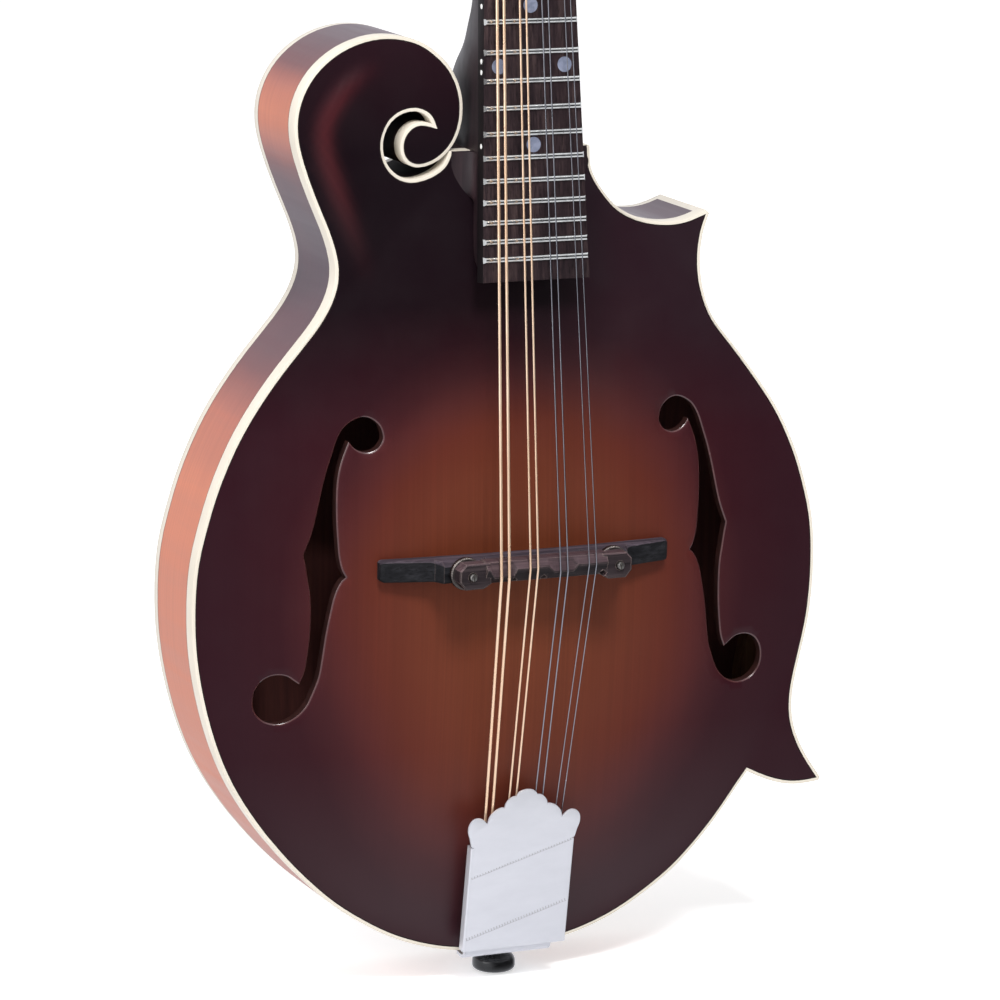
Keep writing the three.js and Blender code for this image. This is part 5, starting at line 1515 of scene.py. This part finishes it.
def hook_plate():
    """Plate over the edge, bent down to the end pin, with eight hooks and three screws."""
    centre = spline([(-8.9, -107.6), (-9.15, -109), (-6.2, -133), (-3.0, -156.6), (-2.3, -160.0),
                     (-1.0, -161.25), (2.0, -161.3), (24.6, -161.3)], {1, 3}, 5, closed=False)
    tangent = np.gradient(centre, axis=0)
    tangent /= np.hypot(*tangent.T)[:, None]
    normals = np.c_[-tangent[:, 1], tangent[:, 0]] * 0.62
    rings = []
    for (y, z), normal in zip(centre, normals):
        half = 18.0 if z > -158 else 18.0 - 4.5 * smoothstep((y - 2) / 16)
        row = [-half, 0.3 - half, half - 0.3, half]
        upper, lower = (y, z) + normal, (y, z) - normal
        rings.append([(x, *upper) for x in row] + [(x, *lower) for x in row[::-1]])
    shell = Shell().add(*loft(rings))
    for number, (_, _, _, _, x, *_) in enumerate(STRINGS):
        path = [(x, y, hook_z(number) + dz) for y, dz in
                ((-7.4, -0.2), (-8.6, -1.1), (-10.2, -1.3), (-11.6, -0.9), (-12.3, 0.1))]
        shell.add(*tube(spline(path, count=3, closed=False), 0.85, 14))
    shell.build("tailpiece_hook_plate", "nickel", "tailpiece_nickel", "tailpiece_base",
                smooth=40)
    shell = Shell()
    for x, y in ((-11.5, 10.0), (11.5, 10.0), (0.0, 20.6)):
        shell.add(*lathe(dome(1.9, 1.0), (x, y, -161.9), (0, 0, -1), 24))
        # painted shade: dark bars set into each head stand in for its cross recess
        for dx, dy in ((1.15, 0.3), (0.3, 1.15)):
            shell.add(*box(x - dx, x + dx, y - dy, y + dy, -162.95, -162.6), paint=1)
    shell.build("tailpiece_screws", "nickel gap", "tailpiece_nickel")


def end_pin():
    profile = [(0, 0), (6.3, 0.0)] + arc(6.6, 1.7, 1.7, -math.pi / 2, 0, 7)
    profile += [(8.3, 2.7), (8.2, 3.9), (7.75, 5.0), (7.0, 5.75), (6.0, 6.2), (5.1, 6.7),
                (4.6, 7.6), (4.4, 8.8), (3.0, 8.8), (2.7, 30), (0, 30)]
    Shell().add(*lathe(profile, (0, PIN_Y, PIN_Z), (0, 0, 1), 72)).build(
        "turned_end_pin", "black", "end_pin_black", "end_pin", smooth=35)


tailpiece_cover()
engraving()
hook_plate()
end_pin()

# ------------------------------------------------------------------ tuners
PLATE_Y = HEAD_T + 1.4  # outer face of the metal strip
GEAR_T = 2.6
GEAR_Y = PLATE_Y + 1.6
WORM_Y = GEAR_Y + GEAR_T / 2
WORM_DZ = -(GEAR_R + WORM_R + 0.05)
WORM_LEN = WORM_LEAD * WORM_TURNS


def lug(x0, x1, z):
    """Lug with a round back, pierced for the worm shaft."""
    back = [(WORM_Y + 2.5 * math.cos(a), 2.6 * math.sin(a))
            for a in np.linspace(-math.pi / 2, math.pi / 2, 11)]
    outline = [(PLATE_Y - 0.2, -2.6)] + back + [(PLATE_Y - 0.2, 2.6)]
    hole = arc(WORM_Y, 0, 1.7, 0, 2 * math.pi, 23)[:-1]
    flat, triangles, index = triangulate([outline, hole])
    verts = np.vstack([np.c_[np.full(len(flat), x), flat[:, 0], flat[:, 1] + z]
                       for x in (x0, x1)])
    faces = [tuple(t) for t in triangles] + [tuple(t[::-1] + len(flat)) for t in triangles]
    for row in (index[:len(outline)], index[len(outline):]):
        faces += strip(row, row + len(flat), -1)
    return head(verts), faces


def tuner_strip(side, sx):
    """Metal strip with its lugs, its screws, and the bushings on the headstock's face."""
    x0, x1 = sorted((sx * 14.5, sx * 30.0))
    z0, z1 = TUNER_Z[0] - 13, TUNER_Z[3] + 9
    radius = 2.2
    outline = []
    for quarter, (x, z) in enumerate(((x1 - radius, z1 - radius), (x0 + radius, z1 - radius),
                                      (x0 + radius, z0 + radius), (x1 - radius, z0 + radius))):
        outline += arc(x, z, radius, quarter * math.pi / 2, (quarter + 1) * math.pi / 2, 5)
    shell = Shell().add(*prism(outline, HEAD_T + 0.05, PLATE_Y, head, bevel=0.05, steps=1,
                               back_bevel=0.35))
    for z in TUNER_Z:
        for near, far in ((15.0, 16.6), (26.6, 29.0)):
            shell.add(*lug(*sorted((sx * near, sx * far)), z + WORM_DZ))
    shell.build("tuner_strip_" + side, "tuner", "tuner_nickel", "tuner_plate_" + side, smooth=35)
    shell = Shell()
    between = [(a + b) / 2 + 2.5 for a, b in zip(TUNER_Z, TUNER_Z[1:])]
    for z in (z0 + 3.2, *between, z1 - 2.6):
        add_screw(shell, head, sx * 19.0, z, PLATE_Y, radius=1.45, out=1, height=0.7)
    shell.build("tuner_screws_" + side, "tuner gap", "tuner_nickel")
    section = [(3.2, 0.4), (5.4, 0.0), (5.5, -0.5), (5.1, -0.95), (4.2, -1.3), (3.6, -1.35),
               (3.2, -1.1)]
    shell = Shell()
    for z in TUNER_Z:
        rings = []
        for angle in np.arange(40) / 40 * 2 * math.pi:
            rings.append(head([(sx * TUNER_X + r * math.cos(angle), y, z + r * math.sin(angle))
                               for r, y in section]))
        shell.add(*loft(rings, closed=True))
    shell.build("post_bushings_" + side, "tuner", "tuner_nickel", smooth=35)


# radius, distance out along x
SHAFT = [(0, 15.15), (1.2, 15.15), (1.45, 15.4), (1.45, 30.0), (1.6, 30.2), (1.9, 30.6),
         (1.9, 31.6), (1.5, 32.2), (1.25, 33.2), (1.25, 38.6), (1.7, 39.4), (2.3, 40.2),
         (2.6, 41.0), (2.6, 42.0), (0, 42.0)]
BUTTON = [(0, 41.3), (2.2, 41.3), (3.6, 41.7), (4.9, 42.7), (6.3, 44.6), (7.4, 47.2),
          (7.9, 50.2), (7.85, 53.0), (7.3, 56.2), (6.1, 58.9), (4.3, 60.7), (2.2, 61.4),
          (0, 61.5)]


def tuning_button(key, sx, z):
    """Worm shaft with its thread, and an oval button."""
    verts, faces = lathe(SHAFT, (0, 0, 0), (sx, 0, 0), 28)
    shell = Shell().add(head(verts + [0, WORM_Y, z + WORM_DZ]), faces)
    count = 96
    fade = count / 5.33
    rings = []
    for i in range(count + 1):
        angle = i / count * WORM_TURNS * 2 * math.pi
        x = -WORM_LEN / 2 + i / count * WORM_LEN
        crest = 1.5 + (WORM_R + 0.5 - 1.5) * min(1, i / fade, (count - i) / fade)
        rings.append([(x + dx, r * math.cos(angle), r * math.sin(angle))
                      for r, dx in ((1.2, -0.5), (crest, -0.18), (crest, 0.18), (1.2, 0.5))])
    verts, faces = loft(rings)
    shell.add(head(verts * [sx, sx, 1] + [sx * TUNER_X, WORM_Y, z + WORM_DZ]), faces)
    verts, faces = lathe(BUTTON, (0, 0, 0), (sx, 0, 0), 36)
    shell.add(head(verts * [1, 0.42, 1] + [0, WORM_Y, z + WORM_DZ]), faces, paint=1)
    shell.build("tuning_button_" + key, "tuner pearloid", "knob_pearloid", "tuner_knob_" + key,
                body="knob_" + key, smooth=38)


def gear_outline():
    tip, root = GEAR_R + 0.5, GEAR_R - 0.8
    # radius, part of a tooth pitch from the tooth's middle
    tooth = [(root, -0.30), (root, -0.25), (tip - 0.12, -0.12), (tip, -0.07), (tip, 0.07),
             (tip - 0.12, 0.12), (root, 0.25), (root, 0.30)]
    pitch = 2 * math.pi / GEAR_TEETH
    return np.array([(r * math.cos((i + part) * pitch), r * math.sin((i + part) * pitch))
                     for i in range(GEAR_TEETH) for r, part in tooth])


def tuner_gear(key, sx, z):
    """Gear turned to mesh with the worm, its teeth leaning with the thread."""
    mesh_x = -sx * (WORM_LEN / 2 - WORM_LEAD / 4 - WORM_LEAD)
    lean = WORM_LEAD / (2 * math.pi * WORM_R * GEAR_R)
    rings = []
    for height in (0, 0.25, 0.9, 1.7, 2.35, GEAR_T):
        pattern = miter(gear_outline(), -0.25 if height in (0, GEAR_T) else 0)
        angle = -math.pi / 2 - mesh_x / GEAR_R + lean * (height - GEAR_T / 2)
        cos, sin = math.cos(angle), math.sin(angle)
        dx = pattern[:, 0] * cos - pattern[:, 1] * sin
        dz = pattern[:, 0] * sin + pattern[:, 1] * cos
        rings.append(np.c_[sx * TUNER_X + dx, np.full(len(dx), GEAR_Y + height), z - dz])
    verts, faces = loft(rings)
    shell = Shell().add(head(verts), faces)
    add_screw(shell, head, sx * TUNER_X, z, GEAR_Y + GEAR_T, radius=1.9, out=1, height=0.9)
    shell.build("tuner_gear_" + key, "brass gap", "tuner_nickel", body="post_" + key, smooth=35)


# radius, y in the headstock frame
POST = [(0, -12.5), (1.6, -12.5), (2.6, -12.2), (2.95, -11.7), (2.95, -10.9), (2.45, -10.2),
        (2.35, -9.6), (2.45, -9.0), (2.9, -8.4), (2.95, -6.9), (2.95, GEAR_Y + 0.3),
        (0, GEAR_Y + 0.3)]


def string_post(key, sx, z):
    verts, faces = lathe(POST, (0, 0, 0), (0, 1, 0), 36)
    post = loose(head(verts + [sx * TUNER_X, 0, z]), faces, name="string_post_" + key)
    verts, faces = lathe([(0.75, -6), (0.75, 6)], (0, 0, 0), (1, 0, 0), 16)
    boolean(post, [loose(head(verts + [sx * TUNER_X, -9.6, z]), faces)])
    finish_cut(post, "tuner", 35, "tuner_post_" + key, body="post_" + key)


for side, sx in SIDES:
    tuner_strip(side, sx)
for side, sx in SIDES:
    for number, z in enumerate(TUNER_Z):
        key = "%s_%d" % (side, number + 1)
        tuning_button(key, sx, z)
        tuner_gear(key, sx, z)
        string_post(key, sx, z)


# ------------------------------------------------------------------ strings
def string(number, name, gauge, bridge_x, nut_x, tail_x, crest_z, sx, post):
    radius = gauge / 2 + 0.05
    wire, sides = ("bronze", 14) if number < WOUND else ("steel", 10)
    crest = np.array([bridge_x, CREST_Y - 0.1 - radius, crest_z])
    at_nut = neck([(nut_x, -1.15 - radius, NUT_ALONG + 1.6)])[0]
    behind = neck([(nut_x, -1.0 - radius, NUT_ALONG + 4.7)])[0]
    # turns round the post
    coil = 3.0 + radius + 0.02
    pitch = 2 * radius + 0.1
    start = 0.0 if sx < 0 else math.pi
    turns = 3.25 if radius > 0.3 else 4.25
    wrap = []
    for i in range(int(28 * turns) + 1):
        angle = start - sx * i / 28 * 2 * math.pi
        wrap.append(head([(sx * TUNER_X + coil * math.cos(angle), -7.6 + i / 28 * pitch,
                           TUNER_Z[post] + coil * math.sin(angle))])[0])
    span = [crest + (at_nut - crest) * t for t in np.linspace(0, 1, 14)]
    path = [crest + [0, 0.12, -0.5]] + span + [behind] + wrap
    Shell().add(*tube(path, radius, sides)).build(
        "string_%s_speaking" % name, wire, "string_" + wire, "string_" + name, smooth=60,
        blend=("root", "saddle", at_nut, crest))
    # behind the bridge: down to the hook, a loop round it and a twisted wrap above the loop
    hook = hook_z(number)
    middle = np.array([tail_x, -12.9, -108.0])
    tail = [crest + [0, 0.02, 0.3]]
    tail += [crest + (middle - crest) * t for t in (0.004, *np.linspace(0.03, 1, 10))]
    tail += [(tail_x, -11.6, -110.5), (tail_x, -10.6, hook + 3.4)]
    loop = [(tail_x + 1.25 * math.sin(a), -10.3, hook + 0.7 - 1.25 * math.cos(a))
            for a in np.linspace(-math.pi * 0.94, math.pi * 0.94, 24)]
    loop_wire = max(radius, 0.2)
    twist = []
    for i in range(60):
        angle = i / 8 * 2 * math.pi
        twist.append((tail_x + loop_wire * 0.75 * math.cos(angle),
                      -10.75 - i / 60 * 0.45 + loop_wire * 0.75 * math.sin(angle),
                      hook + 2.2 + i / 60 * 3.6))
    shell = Shell().add(*tube(tail, radius, sides)).add(*tube(loop, loop_wire * 0.8, 8))
    shell.add(*tube(twist, min(loop_wire * 0.5, 0.22), 6))
    shell.build("string_%s_afterlength" % name, wire, "string_" + wire, smooth=60,
                blend=("saddle", "root", crest, middle))


for number, row in enumerate(STRINGS):
    string(number, *row)

# ------------------------------------------------------------------ frame nodes that stay
KEPT = {
    "inner": ["top_lining_bass", "top_lining_treble", "back_lining_bass", "back_lining_treble",
              "head_block", "tail_block", "upper_point_block", "lower_point_block",
              "tone_bar_bass", "tone_bar_treble"],
    "stud": ["truss_rod"],
    "brass": ["truss_rod_nut"],
}
for paint, names in KEPT.items():
    for name in names:
        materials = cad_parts[name].data.materials
        materials.clear()
        materials.append(PAINT[paint])


# ------------------------------------------------------------------ stage, light, camera
def build_floor():
    size, z = 30.0, -0.0006  # metres
    mesh = bpy.data.meshes.new("floor")
    corners = [(-size, -size, z), (size, -size, z), (size, size, z), (-size, size, z)]
    mesh.from_pydata(corners, [], [(0, 1, 2, 3)])
    floor = link("floor", mesh)
    mat = Material("pale_floor", rough=0.9, spec=0.05)
    seen = mat.node("ShaderNodeLightPath").outputs["Is Camera Ray"]
    mat.set(color=mat.mix(0.5, (0.94, 0.94, 0.94, 1), (0.92, 0.92, 0.92, 1)), glow=WHITE,
            glow_strength=mat.mul(seen, 0.5))
    mesh.materials.append(mat.data)
    floor.visible_glossy = False


def build_world():
    """White to the camera; glossy rays see a bright left, back, ceiling and table."""
    world = bpy.data.worlds.new("studio")
    bpy.context.scene.world = world
    world.use_nodes = True
    sky = Nodes(world.node_tree)
    output = sky.node("ShaderNodeOutputWorld")
    background = sky.node("ShaderNodeBackground")
    sky.fill(background, WHITE, 1.0)
    sky.put(output.inputs[0], background.outputs[0])
    x, y, z = sky.split(sky.coord("Generated"))
    rays = sky.node("ShaderNodeLightPath").outputs
    left, up, down, back = (sky.remap(value, span, kind="SMOOTHSTEP") for value, span in (
        (x, (-0.1, -0.8)), (z, (0.25, 0.8)), (z, (-0.18, -0.56)), (y, (0.1, 0.6))))
    bright = sky.math("MAXIMUM", sky.math("MAXIMUM", left, up), sky.math("MAXIMUM", down, back))
    glossy = sky.times(sky.mul_add(bright, 0.92, 0.035), (1.0, 1.02, 1.09, 1))
    diffuse = sky.mul_add(sky.remap(x, (0.6, -0.8)), 0.28, 0.42)
    colour = sky.mix(rays["Is Glossy Ray"], diffuse, glossy)
    colour = sky.mix(rays["Is Camera Ray"], colour, (1.0, 1.0, 1.0, 1))
    sky.put(background.inputs[0], colour)


def area_light(name, location, size, energy):
    """Rectangular light aimed at the lower body; metres and watts."""
    target = Vector((0, 0, 0.2))
    light = bpy.data.lights.new(name, "AREA")
    light.shape = "RECTANGLE"
    light.size, light.size_y = size
    light.energy = energy
    ob = link(name, light)
    ob.location = location
    ob.rotation_mode = "QUATERNION"
    ob.rotation_quaternion = (target - Vector(location)).to_track_quat("-Z", "Y")


def build_camera():
    target, distance = np.array([-5.301, 0, 16.315]), 1858.179  # body mm
    turn, dip, roll = 24.032 * DEG, 12.272 * DEG, 1.06 * DEG
    forward = np.array([math.sin(turn) * math.cos(dip), math.cos(turn) * math.cos(dip),
                        -math.sin(dip)])
    level = np.array([math.cos(turn), -math.sin(turn), 0])
    upright = np.cross(level, forward)
    right = math.cos(roll) * level + math.sin(roll) * upright
    up = -math.sin(roll) * level + math.cos(roll) * upright
    location = to_row(target - forward * distance)[0]
    camera = bpy.data.cameras.new("camera")
    camera.sensor_width = 36.0
    camera.sensor_fit = "HORIZONTAL"
    camera.lens = 177.84216
    camera.clip_start, camera.clip_end = 0.05, 200
    ob = link("camera", camera)
    columns = np.c_[right, up, -forward, location]
    ob.matrix_world = Matrix(np.vstack([columns, [0, 0, 0, 1]]).tolist())
    bpy.context.scene.camera = ob


build_floor()
build_world()
area_light("key_left", location=(-1.9, -0.7, 1.1), size=(1.1, 1.4), energy=19)
area_light("top_front", location=(-0.2, -1.4, 2.1), size=(0.7, 0.5), energy=50)
build_camera()
view = bpy.context.scene.view_settings
view.view_transform = "Standard"
view.look = "None"
view.exposure = 0.0
view.gamma = 1.0

bpy.context.view_layer.update()
